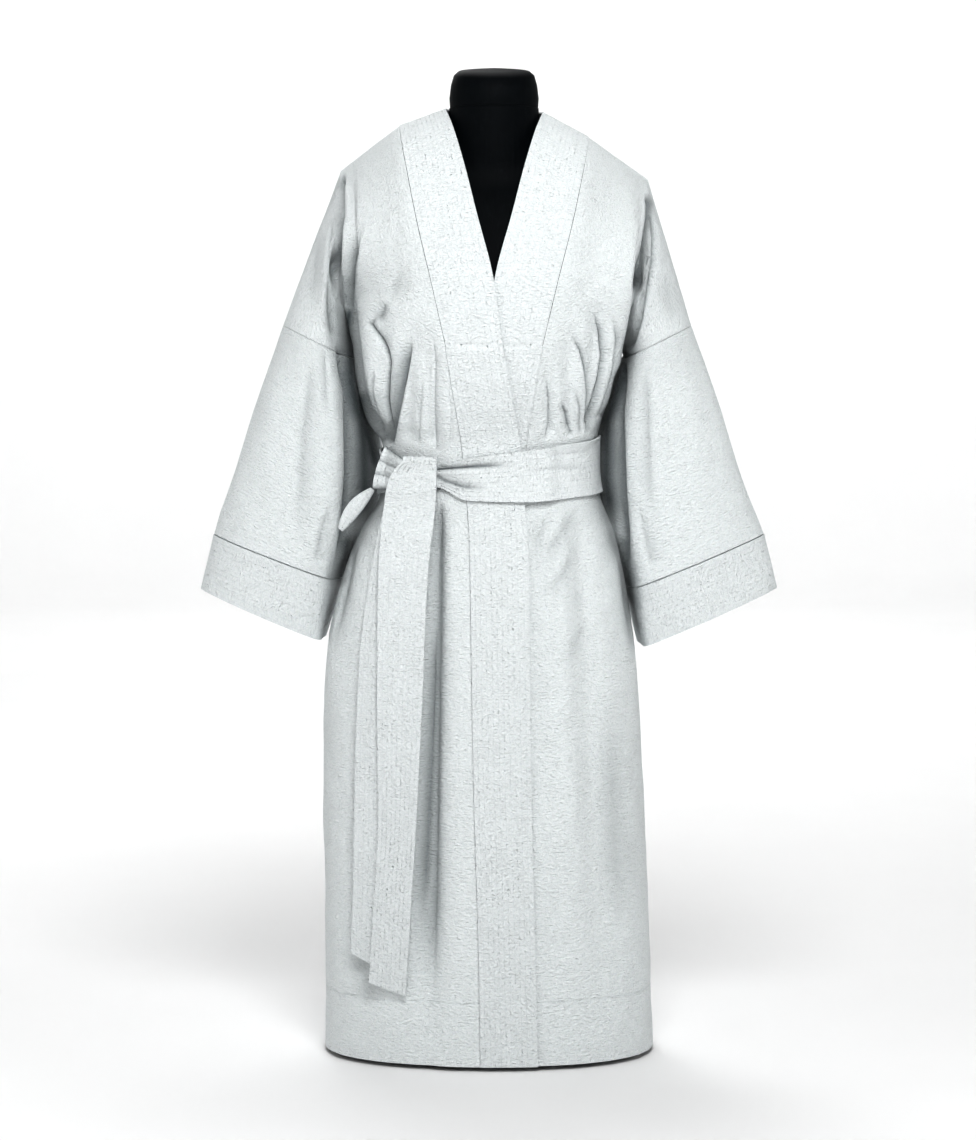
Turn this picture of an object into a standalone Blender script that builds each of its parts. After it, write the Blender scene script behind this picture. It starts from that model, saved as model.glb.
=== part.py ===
"""Kimono robe with its tied belt, worn by a limbless dress form that stands on the floor.

Units are metres. +Z is up and the front of the robe faces -Y, so the wearer's right is at -X.
The cloth is built from one base surface: horizontal rings for the body, tilted rings for the
arms, and a band that follows the neck. Each sewn piece is a wall that stands on that surface.
"""

import math

import bpy
import numpy as np

# Cloth thicknesses and clearances
PANEL_WALL = 0.0015
QUILTED_WALL = 0.0024
SEAM_GAP = 0.0005
LAYER_GAP = 0.0016

# Heights
HEM_Z = 0.006
ARMPIT_Z = 0.885
OVERLAP_TOP_Z = 1.000
OVERLAP_FADE = 0.050

RIGHT = -1
LEFT = 1

# Body rings: height, half width on the wearer's right and left, depth in front and behind
BODY = np.array((
    # z, right, left, front, back
    (0.006, 0.211, 0.198, 0.141, 0.143),
    (0.150, 0.212, 0.194, 0.138, 0.140),
    (0.300, 0.212, 0.188, 0.134, 0.136),
    (0.450, 0.211, 0.180, 0.128, 0.130),
    (0.520, 0.206, 0.174, 0.124, 0.126),
    (0.560, 0.198, 0.168, 0.120, 0.122),
    (0.617, 0.181, 0.157, 0.113, 0.114),
    (0.655, 0.165, 0.147, 0.106, 0.107),
    (0.695, 0.143, 0.132, 0.098, 0.097),
    (0.735, 0.136, 0.127, 0.095, 0.092),
    (0.765, 0.140, 0.127, 0.097, 0.093),
    (0.790, 0.157, 0.132, 0.104, 0.097),
    (0.815, 0.166, 0.140, 0.113, 0.101),
    (0.850, 0.172, 0.147, 0.122, 0.105),
    (0.885, 0.175, 0.150, 0.127, 0.107),
))
SQUARENESS = 2.3

# How far across the chest and the back the armholes' shape reaches, and the bulge of the shoulder blades
FRONT_REACH = 0.85
BACK_REACH = 0.42
BLADE_DEPTH = 0.010

# Folds beside each armpit, where the fronts blouse over the belt: how far each ring is moved
# out to the side. The ridge is the front's own edge, and the hollow lies between it and the side.
SIDE_FOLD_START = 0.35
SIDE_FOLDS = {
    RIGHT: np.array((
        # z, ridge, hollow
        (0.760, 0.000, 0.000),
        (0.790, 0.004, -0.012),
        (0.815, 0.005, -0.019),
        (0.850, 0.004, -0.022),
        (0.885, 0.003, -0.022),
    )),
    LEFT: np.array((
        (0.760, 0.000, 0.000),
        (0.790, 0.013, 0.000),
        (0.815, 0.018, 0.000),
        (0.850, 0.022, 0.000),
        (0.885, 0.023, 0.000),
    )),
}
RIDGE_Y = -0.068
RIDGE_SPREAD = 0.030
HOLLOW_Y = -0.030
HOLLOW_SPREAD = 0.017

# Front band below the armpits: height, free edge past the centre, seam short of the centre
BAND = np.array((
    (0.012, 0.053, 0.017),
    (0.178, 0.049, 0.020),
    (0.303, 0.046, 0.024),
    (0.447, 0.043, 0.027),
    (0.640, 0.040, 0.030),
    (0.692, 0.037, 0.033),
    (0.768, 0.031, 0.040),
    (0.835, 0.019, 0.051),
    (0.885, 0.011, 0.059),
))

# The under layer's free edge stops short of the upper one's
UNDERLAP = {RIGHT: 1.0, LEFT: 0.8}

# Where the upper front rises over the under one, and how far the belt rises over both, as x
OVERLAP_RISE = (-0.085, -0.050)
BELT_RISE_RIGHT = (-0.098, -0.072)
BELT_RISE_LEFT = (0.080, 0.062)

# Band above the armpits, from there over the shoulder to the back of the neck.
# "out" is the distance towards the band's own side.
NECK = np.array((
    # free edge out, y, z; seam out, y, z
    (0.0000, -0.1240, 0.963, 0.0760, -0.1200, 0.960),
    (0.0210, -0.0980, 1.045, 0.0950, -0.0980, 1.040),
    (0.0380, -0.0660, 1.112, 0.1070, -0.0680, 1.100),
    (0.0520, -0.0290, 1.158, 0.1150, -0.0300, 1.142),
    (0.0595, 0.0050, 1.177, 0.1170, 0.0050, 1.156),
    (0.0570, 0.0380, 1.179, 0.1020, 0.0520, 1.143),
    (0.0340, 0.0610, 1.180, 0.0570, 0.0840, 1.127),
    (0.0000, 0.0690, 1.180, 0.0000, 0.0960, 1.120),
))
SHOULDER_ROW = 5
SHOULDER_DROP = {RIGHT: 0.0, LEFT: 0.014}

# Arm rings: share of the way, outer and inner point seen from the front, depth in front and behind,
# bulge of the front, and how far the underarm is tucked in and back
UPPER_ARM = {
    RIGHT: np.array((
        # share, outer x, z, inner x, z, front, back, bulge, tuck in, tuck back
        (0.00, 0.189, 1.101, 0.187, 0.937, 0.066, 0.066, 0.000, 0.000, 0.000),
        (0.16, 0.199, 1.074, 0.191, 0.930, 0.046, 0.058, 0.000, 0.000, 0.001),
        (0.36, 0.213, 1.037, 0.194, 0.920, 0.060, 0.062, 0.000, 0.004, 0.022),
        (0.70, 0.240, 0.966, 0.197, 0.899, 0.066, 0.064, 0.000, 0.014, 0.046),
        (1.00, 0.261, 0.910, 0.199, 0.880, 0.066, 0.062, 0.000, 0.022, 0.054),
    )),
    LEFT: np.array((
        (0.00, 0.190, 1.090, 0.150, 0.885, 0.076, 0.070, 0.012, 0.000, 0.000),
        (0.16, 0.197, 1.065, 0.156, 0.881, 0.050, 0.060, 0.000, 0.000, 0.001),
        (0.36, 0.207, 1.030, 0.161, 0.879, 0.062, 0.066, 0.000, 0.001, 0.005),
        (0.70, 0.228, 0.963, 0.167, 0.877, 0.066, 0.066, 0.000, 0.004, 0.018),
        (1.00, 0.245, 0.910, 0.171, 0.874, 0.066, 0.062, 0.000, 0.008, 0.030),
    )),
}
SLEEVE = {
    RIGHT: np.array((
        (0.00, 0.261, 0.910, 0.199, 0.880, 0.066, 0.062, 0.000, 0.022, 0.054),
        (0.22, 0.281, 0.852, 0.189, 0.816, 0.066, 0.056, 0.000, 0.028, 0.060),
        (0.46, 0.303, 0.787, 0.187, 0.744, 0.064, 0.048, 0.000, 0.034, 0.063),
        (0.72, 0.325, 0.719, 0.191, 0.672, 0.060, 0.042, 0.000, 0.030, 0.066),
        (1.00, 0.349, 0.650, 0.207, 0.597, 0.054, 0.036, 0.000, 0.015, 0.066),
    )),
    LEFT: np.array((
        (0.00, 0.245, 0.910, 0.171, 0.874, 0.066, 0.062, 0.000, 0.008, 0.030),
        (0.22, 0.265, 0.852, 0.164, 0.812, 0.066, 0.056, 0.000, 0.024, 0.052),
        (0.46, 0.287, 0.787, 0.161, 0.742, 0.064, 0.048, 0.000, 0.028, 0.062),
        (0.72, 0.309, 0.719, 0.166, 0.668, 0.060, 0.042, 0.000, 0.020, 0.066),
        (1.00, 0.335, 0.650, 0.177, 0.586, 0.054, 0.036, 0.000, 0.010, 0.066),
    )),
}
CUFF = {
    RIGHT: np.array((
        (0.00, 0.349, 0.650, 0.207, 0.597, 0.054, 0.036, 0.000, 0.015, 0.066),
        (1.00, 0.366, 0.581, 0.219, 0.520, 0.050, 0.032, 0.000, 0.004, 0.066),
    )),
    LEFT: np.array((
        (0.00, 0.335, 0.650, 0.177, 0.586, 0.054, 0.036, 0.000, 0.010, 0.066),
        (1.00, 0.352, 0.582, 0.189, 0.512, 0.050, 0.032, 0.000, 0.004, 0.066),
    )),
}
# Rows above the ring region at which each arm begins, and the front edge of the underarm's turn
ARM_START = {RIGHT: 2, LEFT: 0}
UNDERARM_TURN = 0.78

# Largest folds: face, x and z where the fold starts and ends, half width there, height
FRONT = -1
BACK = 1
FOLDS = (
    # face, start x, start z, end x, end z, start width, end width, height
    (FRONT, -0.069, 0.700, -0.082, 0.030, 0.010, 0.021, -0.012),
    (FRONT, -0.104, 0.690, -0.122, 0.060, 0.010, 0.030, 0.007),
    (FRONT, -0.127, 0.690, -0.160, 0.200, 0.009, 0.024, -0.007),
    (FRONT, 0.052, 0.685, 0.048, 0.300, 0.007, 0.020, -0.004),
    (FRONT, 0.080, 0.690, 0.092, 0.200, 0.008, 0.026, 0.005),
    (FRONT, 0.105, 0.690, 0.135, 0.050, 0.009, 0.030, -0.006),
    (FRONT, -0.132, 0.766, -0.142, 0.910, 0.008, 0.014, -0.009),
    (FRONT, -0.108, 0.764, -0.100, 0.910, 0.008, 0.015, -0.008),
    (FRONT, -0.076, 0.762, -0.080, 0.905, 0.008, 0.013, -0.006),
    (FRONT, 0.070, 0.772, 0.066, 0.870, 0.007, 0.011, -0.005),
    (FRONT, 0.094, 0.774, 0.090, 0.900, 0.008, 0.013, -0.007),
    (FRONT, 0.117, 0.776, 0.130, 0.940, 0.008, 0.015, -0.008),
    (BACK, -0.104, 0.780, -0.112, 0.960, 0.010, 0.018, -0.008),
    (BACK, -0.052, 0.780, -0.050, 0.950, 0.010, 0.018, -0.007),
    (BACK, 0.004, 0.780, 0.002, 0.920, 0.010, 0.018, -0.005),
    (BACK, 0.050, 0.780, 0.054, 0.960, 0.010, 0.018, -0.008),
    (BACK, 0.100, 0.780, 0.108, 0.950, 0.010, 0.018, -0.007),
    (BACK, -0.104, 0.690, -0.140, 0.040, 0.012, 0.032, -0.011),
    (BACK, -0.055, 0.690, -0.075, 0.040, 0.012, 0.030, 0.007),
    (BACK, 0.004, 0.690, -0.006, 0.040, 0.012, 0.030, -0.010),
    (BACK, 0.060, 0.690, 0.070, 0.040, 0.012, 0.030, 0.008),
    (BACK, 0.100, 0.690, 0.132, 0.040, 0.012, 0.032, -0.010),
)

# A fold starts over this share of its length, and fades out towards the side seams, at y = 0
FOLD_START = 0.10
FOLD_CLEAR = 0.004
FOLD_FULL = 0.030

# Belt: share of the way round (0 front centre, 1 side seam, 2 back centre), top and bottom height
BELT = np.array((
    (-2.00, 0.768, 0.700),
    (-1.00, 0.756, 0.700),
    (-0.62, 0.740, 0.706),
    (-0.36, 0.739, 0.711),
    (-0.16, 0.748, 0.695),
    (0.20, 0.757, 0.693),
    (0.60, 0.767, 0.699),
    (1.00, 0.774, 0.703),
    (2.00, 0.768, 0.700),
))
BELT_GAP = 0.0018

# Belt tails: height, left and right edge seen from the front
FRONT_TAIL = np.array((
    (0.7445, -0.1110, -0.0700),
    (0.7300, -0.1240, -0.0700),
    (0.7150, -0.1300, -0.0702),
    (0.7000, -0.1330, -0.0706),
    (0.6200, -0.1400, -0.0790),
    (0.5900, -0.1410, -0.0810),
    (0.4500, -0.1420, -0.0870),
    (0.3100, -0.1410, -0.0940),
    (0.2000, -0.1470, -0.1010),
    (0.0990, -0.1530, -0.1080),
))
FRONT_TAIL_TILT = 0.30
FRONT_TAIL_SLANT = 0.014
FRONT_TAIL_SEAT = 0.0015
FRONT_TAIL_TURN = ((0.0012, 0.0020), (0.0036, 0.0028))
BACK_TAIL = np.array((
    (0.696, -0.1330, -0.0900),
    (0.620, -0.1480, -0.0960),
    (0.500, -0.1640, -0.1060),
    (0.350, -0.1700, -0.1090),
    (0.230, -0.1720, -0.1110),
    (0.125, -0.1750, -0.1150),
))
BACK_TAIL_TILT = 0.42
BACK_TAIL_SLANT = 0.030
TAIL_GAP = 0.0006
TAIL_STEPS = 90
TAIL_SAMPLES = 13
TAIL_DRAPE = 1
TAIL_SLANT_REACH = 0.150
BELT_MARGIN = 0.003
TAIL_WALL = 0.0024

# Knot: share down, then x and z of its end under the tail and of its outer end
KNOT = np.array((
    # down, x, z, outer x, z
    (0.00, -0.1120, 0.7440, -0.1350, 0.7600),
    (0.33, -0.1140, 0.7330, -0.1420, 0.7430),
    (0.66, -0.1180, 0.7210, -0.1470, 0.7270),
    (1.00, -0.1200, 0.7090, -0.1500, 0.7100),
))
KNOT_GAP = 0.0005
KNOT_LEVEL = 0.725
KNOT_CORNER_X = -0.132
KNOT_WRAP = 0.2
KNOT_STAND = 0.0080
KNOT_PLEATS = 3
KNOT_PLEAT_DEPTH = 0.0045
KNOT_PLEAT_ROUND = 0.7
KNOT_MARGIN = 0.004

# Loose end of the knot, a flattened fold seen from the front
LOOSE_TOP = (-0.1500, -0.0500, 0.7080)
LOOSE_TIP = (-0.1900, -0.0560, 0.6580)
LOOSE_BOW = 0.003
LOOSE_HALF_WIDTH = 0.0095
LOOSE_HALF_DEPTH = 0.0040
LOOSE_TIP_SIZE = 0.30
LOOSE_START = 0.06
LOOSE_END = 0.92
LOOSE_RINGS = 9
LOOSE_SIDES = 12

# Dress form rings: height, half width, depth in front and behind
FORM = np.array((
    (0.500, 0.040, 0.040, 0.040),
    (0.502, 0.120, 0.078, 0.080),
    (0.530, 0.134, 0.088, 0.092),
    (0.600, 0.136, 0.090, 0.094),
    (0.660, 0.126, 0.084, 0.084),
    (0.735, 0.112, 0.078, 0.074),
    (0.820, 0.120, 0.092, 0.080),
    (0.900, 0.130, 0.108, 0.086),
    (0.960, 0.140, 0.106, 0.084),
    (1.010, 0.155, 0.096, 0.078),
    (1.050, 0.171, 0.080, 0.068),
    (1.075, 0.179, 0.068, 0.056),
    (1.0905, 0.1756, 0.0560, 0.0466),
    (1.1105, 0.1556, 0.0440, 0.0355),
    (1.131, 0.122, 0.031, 0.029),
    (1.149, 0.087, 0.023, 0.023),
    (1.163, 0.054, 0.018, 0.018),
    (1.176, 0.034, 0.014, 0.014),
))
NECK_HALF_WIDTH = 0.0555
NECK_HALF_DEPTH = 0.0540
NECK_CENTRE_Y = 0.006
NECK_TOP_Z = 1.179
CAP_HEIGHT = 0.047
CAP_LEAN = math.radians(11)
CAP_PROFILE = ((0.0, 0.985), (0.25, 1.0), (0.6, 0.965), (0.86, 0.90), (0.96, 0.80), (1.0, 0.45))
POLE_RADIUS = 0.0125
BASE_RADIUS = 0.108
BASE_HEIGHT = 0.010
BASE_EDGE = 0.003

POLE_SIDES = 16
BASE_SIDES = 40

# How the form's neck grows out of its shoulders: the heights between which it starts, and how
# tightly the two shapes join
NECK_START = (1.02, 1.12)
NECK_JOIN = 8

# Colours
COTTON = (0.80, 0.84, 0.84)
STITCHED_COTTON = (0.78, 0.82, 0.82)
JERSEY = (0.010, 0.012, 0.014)
STEEL = (0.02, 0.02, 0.02)

# Grid sizes
BODY_ROWS = (
    HEM_Z, 0.100, 0.200, 0.300, 0.390, 0.470, 0.540, 0.600, 0.645, 0.680,
    0.705, 0.735, 0.765, 0.790, 0.815, 0.838, 0.862, ARMPIT_Z,
)
UPPER_ROWS = 8
FRONT_COLUMNS = 18
NECK_COLUMNS = 9
SHOULDER_COLUMNS = 7
BACK_COLUMNS = 2 * (NECK_COLUMNS + SHOULDER_COLUMNS)
BAND_COLUMNS = 3
ARM_COLUMNS = 5
SLEEVE_ROWS = 4
SLEEVE_SIDES = 18
BELT_ROWS = 4
BELT_COLUMNS = 48
TAIL_ROWS = 20
TAIL_COLUMNS = 3
KNOT_ROWS = 18
KNOT_COLUMNS = 3
FORM_SIDES = 28
RING_STEPS = 720


def smooth(knots, values, at):
    """Monotone cubic curve through a table's rows."""
    knots = np.asarray(knots, float)
    values = np.asarray(values, float)
    at = np.clip(np.asarray(at, float), knots[0], knots[-1])
    step = np.diff(knots)
    slope = np.diff(values) / step
    tangent = np.zeros(len(knots))
    tangent[0], tangent[-1] = slope[0], slope[-1]
    for k in range(1, len(knots) - 1):
        if slope[k - 1] * slope[k] > 0:
            tangent[k] = 2 / (1 / slope[k - 1] + 1 / slope[k])
    k = np.clip(np.searchsorted(knots, at, side="right") - 1, 0, len(step) - 1)
    t = (at - knots[k]) / step[k]
    return (
        (2 * t**3 - 3 * t**2 + 1) * values[k]
        + (t**3 - 2 * t**2 + t) * step[k] * tangent[k]
        + (3 * t**2 - 2 * t**3) * values[k + 1]
        + (t**3 - t**2) * step[k] * tangent[k + 1]
    )


def ease(low, high, value):
    """0 at low, 1 at high, with no corner at either end. low may be above high."""
    t = np.clip((np.asarray(value, float) - low) / (high - low), 0, 1)
    return t * t * (3 - 2 * t)


class Ring:
    """The body's base ring at one height, read by share round it or by length from the front."""

    def __init__(self, z):
        angle = np.linspace(-math.pi, math.pi, RING_STEPS + 1)
        side = np.where(angle < 0, smooth(BODY[:, 0], BODY[:, 1], z), smooth(BODY[:, 0], BODY[:, 2], z))
        front = smooth(BODY[:, 0], BODY[:, 3], z)
        back = smooth(BODY[:, 0], BODY[:, 4], z)
        power = 2 / SQUARENESS
        sine = np.abs(np.sin(angle)) ** power
        cosine = np.abs(np.cos(angle)) ** power
        y = np.where(np.abs(angle) < math.pi / 2, -front, back) * cosine
        reach = np.zeros_like(angle)
        for sign, table in SIDE_FOLDS.items():
            ridge, hollow = smooth(table[:, 0], table[:, 1], z), smooth(table[:, 0], table[:, 2], z)
            ridge = ridge * np.exp(-(((y - RIDGE_Y) / RIDGE_SPREAD) ** 2))
            hollow = hollow * np.exp(-(((y - HOLLOW_Y) / HOLLOW_SPREAD) ** 2))
            reach += np.where(sign * angle > 0, ridge + hollow, 0.0)
        reach = reach * ease(SIDE_FOLD_START, 1.0, sine) * ease(FOLD_CLEAR, HOLLOW_Y / 2, y)
        x = np.sign(angle) * (side * sine + reach)
        self.points = np.stack([x, y, np.full_like(x, z)], axis=1)
        lengths = np.linalg.norm(np.diff(self.points, axis=0), axis=1)
        run = np.concatenate([[0], np.cumsum(lengths)])
        half, quarter = RING_STEPS // 2, RING_STEPS // 4
        self.length = run - run[half]
        marks = [0, quarter, half, half + quarter, RING_STEPS]
        self.share = np.interp(self.length, self.length[marks], [-2, -1, 0, 1, 2])

    def at_share(self, share):
        return np.stack([np.interp(share, self.share, self.points[:, k]) for k in range(3)], axis=-1)

    def share_of(self, length):
        return np.interp(length, self.length, self.share)


def neck_curve(side, columns, share):
    """A point of the band's free edge (columns 0 to 2) or seam (3 to 5).

    share runs from 0 at the armpits to 1 at the shoulder and 2 at the back of the neck.
    """
    ring = Ring(ARMPIT_Z)
    own = -BAND[-1, 1] * UNDERLAP[side] if columns[0] == 0 else BAND[-1, 2]
    first = ring.at_share(ring.share_of(side * own))
    rows = np.vstack([[abs(first[0]) * np.sign(own), first[1], first[2]], NECK[:, list(columns)]])
    heights = (rows[:SHOULDER_ROW + 1, 2] - rows[0, 2]) / (rows[SHOULDER_ROW, 2] - rows[0, 2])
    knots = np.concatenate([heights, np.linspace(1, 2, len(rows) - SHOULDER_ROW)[1:]])
    point = np.stack([smooth(knots, rows[:, k], share) for k in range(3)], axis=-1)
    drop = SHOULDER_DROP[side] * ease(0.1, 1.0, share) * ease(2.0, 1.1, share)
    drop = drop * (1.0 if columns[0] == 3 else 0.3)
    point[..., 0] *= side
    point[..., 2] -= drop
    return point


def arm_point(table, side, share, turn, face):
    """A point of an arm ring. turn is 0 at the top of the sleeve and 1 at the underarm."""
    outer_x, outer_z, inner_x, inner_z, front, back, bulge, tuck_in, tuck_back = (
        smooth(table[:, 0], table[:, k], share) for k in range(1, 10)
    )
    roundness = 1.0 if table is not UPPER_ARM[side] else ease(0.1, 0.9, share)
    is_front = face == FRONT
    reached = np.where(is_front, np.minimum(turn / UNDERARM_TURN, 1), turn)
    circular = (1 - np.cos(math.pi * reached)) / 2
    down = turn + (circular - turn) * roundness
    swell = np.sin(math.pi * turn)
    tuck = np.where(is_front, ease(UNDERARM_TURN - 0.10, 1.02, turn), ease(-0.1, 1.1, turn))
    tuck = tuck / np.where(is_front, ease(UNDERARM_TURN - 0.10, 1.02, 1.0), ease(-0.1, 1.1, 1.0))
    tuck = tuck * (turn > 0)
    x = outer_x + (inner_x - outer_x) * down + np.where(is_front, bulge, bulge / 3) * swell - tuck_in * tuck
    slope = (outer_z - inner_z) / np.maximum(outer_x - inner_x, 0.03)
    z = outer_z + (inner_z - outer_z) * down - tuck_in * tuck * slope * roundness
    y = np.where(is_front, -front, back) * swell + tuck_back * tuck
    return np.stack(np.broadcast_arrays(side * x, y, z), axis=-1)


def fold_height(points, face):
    """How far the largest folds move each point out of the base surface."""
    x, z = points[..., 0], points[..., 2]
    total = np.zeros(x.shape)
    for fold_face, x0, z0, x1, z1, width0, width1, height in FOLDS:
        if fold_face != face:
            continue
        along = (z - z0) / (z1 - z0)
        middle = x0 + (x1 - x0) * along
        width = width0 + (width1 - width0) * np.clip(along, 0, 1)
        fade = ease(0.0, FOLD_START, along) * ease(1.12, 0.75, along)
        total += height * fade * np.exp(-(((x - middle) / width) ** 2))
    return total * ease(FOLD_CLEAR, FOLD_FULL, np.abs(points[..., 1]))


def grid_normals(points):
    """Unit normals of a grid of points; missing points are NaN."""
    padded = np.pad(points, ((1, 1), (1, 1), (0, 0)), mode="edge")
    rows, columns = points.shape[:2]
    sides = []
    for row, column in ((0, 1), (1, 0), (0, -1), (-1, 0)):
        sides.append(padded[1 + row:1 + row + rows, 1 + column:1 + column + columns] - points)
    total = np.zeros_like(points)
    for side, following in zip(sides, sides[1:] + sides[:1]):
        total += np.nan_to_num(np.cross(side, following))
    length = np.linalg.norm(total, axis=-1, keepdims=True)
    return total / np.maximum(length, 1e-12)


def squared(normals, rims):
    """Turns the normals at each rim square to a direction, so that two sewn edges stay parallel."""
    for rim, direction in rims:
        direction = direction / np.linalg.norm(direction, axis=-1, keepdims=True)
        turned = normals[rim] - (normals[rim] * direction).sum(axis=-1, keepdims=True) * direction
        normals[rim] = turned / np.maximum(np.linalg.norm(turned, axis=-1, keepdims=True), 1e-12)
    return normals


def wall(name, points, thickness, material, lift=0.0, closed=False, outward=1, rims=()):
    """A cloth wall on a grid of base points, as one closed solid. Missing points are NaN."""
    grid = np.concatenate([points, points[:, :1]], axis=1) if closed else points
    if closed:
        wrapped = np.concatenate([points[:, -1:], grid, points[:, 1:2]], axis=1)
        normals = grid_normals(wrapped)[:, 1:-1]
    else:
        normals = grid_normals(grid)
    normals = squared(normals * outward, rims)
    rows, columns = grid.shape[:2]
    lift = np.broadcast_to(np.asarray(lift, float), (rows, columns))[..., None]
    inner = grid + normals * lift
    outer = grid + normals * (lift + thickness)
    width = columns - 1 if closed else columns

    def index(i, j, layer):
        return (i * width + j % width) * 2 + layer

    vertices = np.zeros((rows * width * 2, 3))
    vertices[0::2] = np.nan_to_num(inner[:, :width].reshape(-1, 3))
    vertices[1::2] = np.nan_to_num(outer[:, :width].reshape(-1, 3))
    present = ~np.isnan(grid[..., 0])
    faces = []
    edges = {}
    for i in range(rows - 1):
        for j in range(columns - 1):
            if not present[i:i + 2, j:j + 2].all():
                continue
            corners = [(i, j), (i, j + 1), (i + 1, j + 1), (i + 1, j)]
            if outward < 0:
                corners = corners[::-1]
            faces.append([index(a, b, 1) for a, b in corners])
            faces.append([index(a, b, 0) for a, b in corners[::-1]])
            for k in range(4):
                a, b = index(*corners[k], 0), index(*corners[(k + 1) % 4], 0)
                if (b, a) in edges:
                    del edges[(b, a)]
                else:
                    edges[(a, b)] = True
    faces += [[b + 1, a + 1, a, b] for a, b in edges]
    used = sorted({k for face in faces for k in face})
    place = {k: n for n, k in enumerate(used)}
    return solid(name, vertices[used], [[place[k] for k in face] for face in faces], material)


def solid(name, vertices, faces, material):
    """A mesh object with one material, shaded smooth."""
    mesh = bpy.data.meshes.new(name)
    mesh.from_pydata([tuple(v) for v in vertices], [], faces)
    mesh.validate()
    mesh.materials.append(material)
    mesh.shade_smooth()
    mesh.set_sharp_from_angle(angle=math.radians(50))
    made = bpy.data.objects.new(name, mesh)
    bpy.context.scene.collection.objects.link(made)
    return made


def loft(name, rings, material):
    """A closed solid through rings of points, with a fan at each end."""
    count = len(rings[0])
    vertices = [p for ring in rings for p in ring]
    vertices += [np.mean(rings[0], axis=0), np.mean(rings[-1], axis=0)]
    first, last = len(vertices) - 2, len(vertices) - 1
    faces = []
    for i in range(len(rings) - 1):
        for j in range(count):
            k = (j + 1) % count
            faces.append([i * count + j, i * count + k, (i + 1) * count + k, (i + 1) * count + j])
    top = (len(rings) - 1) * count
    for j in range(count):
        k = (j + 1) % count
        faces.append([first, k, j])
        faces.append([last, top + j, top + k])
    return solid(name, vertices, faces, material)


def principled(name, colour, roughness):
    made = bpy.data.materials.new(name)
    made.use_nodes = True
    shader = made.node_tree.nodes["Principled BSDF"]
    shader.inputs["Base Color"].default_value = (*colour, 1.0)
    shader.inputs["Roughness"].default_value = roughness
    shader.inputs["Metallic"].default_value = 0.0
    return made


def overlap_lift(side, points):
    """The wearer's right front lies over the left one, so it stands a layer further out there."""
    if side == LEFT:
        return np.zeros(points.shape[:-1])
    layer = QUILTED_WALL + LAYER_GAP
    across = ease(*OVERLAP_RISE, points[..., 0])
    return layer * across * ease(OVERLAP_TOP_Z + OVERLAP_FADE, OVERLAP_TOP_Z, points[..., 2])


def seam_share(ring, side):
    """Where the front band is sewn to the front, as a share of the ring."""
    length = smooth(BAND[:, 0], BAND[:, 2], ring.points[0, 2]) + SEAM_GAP / 2
    return abs(ring.share_of(side * length))


def upper_patch(bottom, top, inner, outer, reach):
    """Points between four edge curves, bent towards each side edge over its reach."""
    rows, columns = len(inner), len(bottom)
    b = np.linspace(0, 1, rows)[:, None, None]
    a = np.linspace(0, 1, columns)[None, :, None]
    ruled = (1 - b) * bottom[None] + b * top[None]
    near_inner = ease(reach, 0, a) * (inner[:, None] - ruled[:, :1])
    near_outer = ease(1 - reach, 1, a) * (outer[:, None] - ruled[:, -1:])
    return ruled + near_inner + near_outer


def neck_seam(side, share):
    """The seam between the band and the panel beside it, and the direction across it."""
    free, seam = neck_curve(side, (0, 1, 2), share), neck_curve(side, (3, 4, 5), share)
    across = seam - free
    return seam, across / np.linalg.norm(across, axis=-1, keepdims=True)


def arm_row(side):
    """The grid row at which an arm begins, which is the armpit's."""
    return len(BODY_ROWS) - 1 + ARM_START[side]


def armhole(side, ring_side, face):
    """The edge beside the arm from the rings' top to the shoulder, and the turn of each of its rows."""
    start = ARM_START[side]
    turn = np.linspace(1, 0, UPPER_ROWS + 1 - start)
    edge = arm_point(UPPER_ARM[side], side, 0.0, turn, face)
    if start:
        below = np.linspace(ring_side, edge[0], start + 1)[:-1]
        return np.vstack([below, edge]), turn
    edge[0] = ring_side
    return edge, turn


def part_seams(grid, face, side_columns):
    """Moves the shoulder, side and underarm edges off the other face's edges."""
    shift = face * SEAM_GAP / 2
    grid[-1, :, 1] += shift
    for side, column, arm in side_columns:
        row = arm_row(side)
        grid[:row + 1, column, 1] += shift
        across = underarm_across(grid, row, arm)
        grid[row, list(arm)] += across / np.linalg.norm(across, axis=-1, keepdims=True) * SEAM_GAP
        grid[row, list(arm), 1] += shift
    return grid


def underarm_across(grid, row, arm):
    """Directions from the underarm seam into a panel, along its surface."""
    return grid[row + 1, list(arm)] - grid[row, list(arm)]


def panel_rims(grid, side_columns, band_edges):
    """The rims of a front or back: its hem, its side, shoulder and sleeve seams, and its band seam."""
    level, up = np.array((0.0, 1.0, 0.0)), np.array((0.0, 0.0, 1.0))
    rims = [(np.s_[0, :], up)]
    for side, column, arm in side_columns:
        row = arm_row(side)
        rims.append((np.s_[:row + 1, column], level))
        rims.append(((row, list(arm)), underarm_across(grid, row, arm)))
    rims.append((np.s_[-1, :], level))
    for side, column, arm in side_columns:
        rims.append((np.s_[arm_row(side):, arm[-1]], arm_axis(side)))
    return rims + band_edges


def arm_axis(side):
    """Direction of the arm, square to the ring at the sleeve's seam."""
    outer_x, outer_z, inner_x, inner_z = SLEEVE[side][0, 1:5]
    return np.array((side * (outer_z - inner_z), 0.0, -(outer_x - inner_x)))


def folded(grid, face, outward):
    """Adds the largest folds to a base grid, along its own normals."""
    return grid + grid_normals(grid) * outward * fold_height(grid, face)[..., None]


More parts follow.
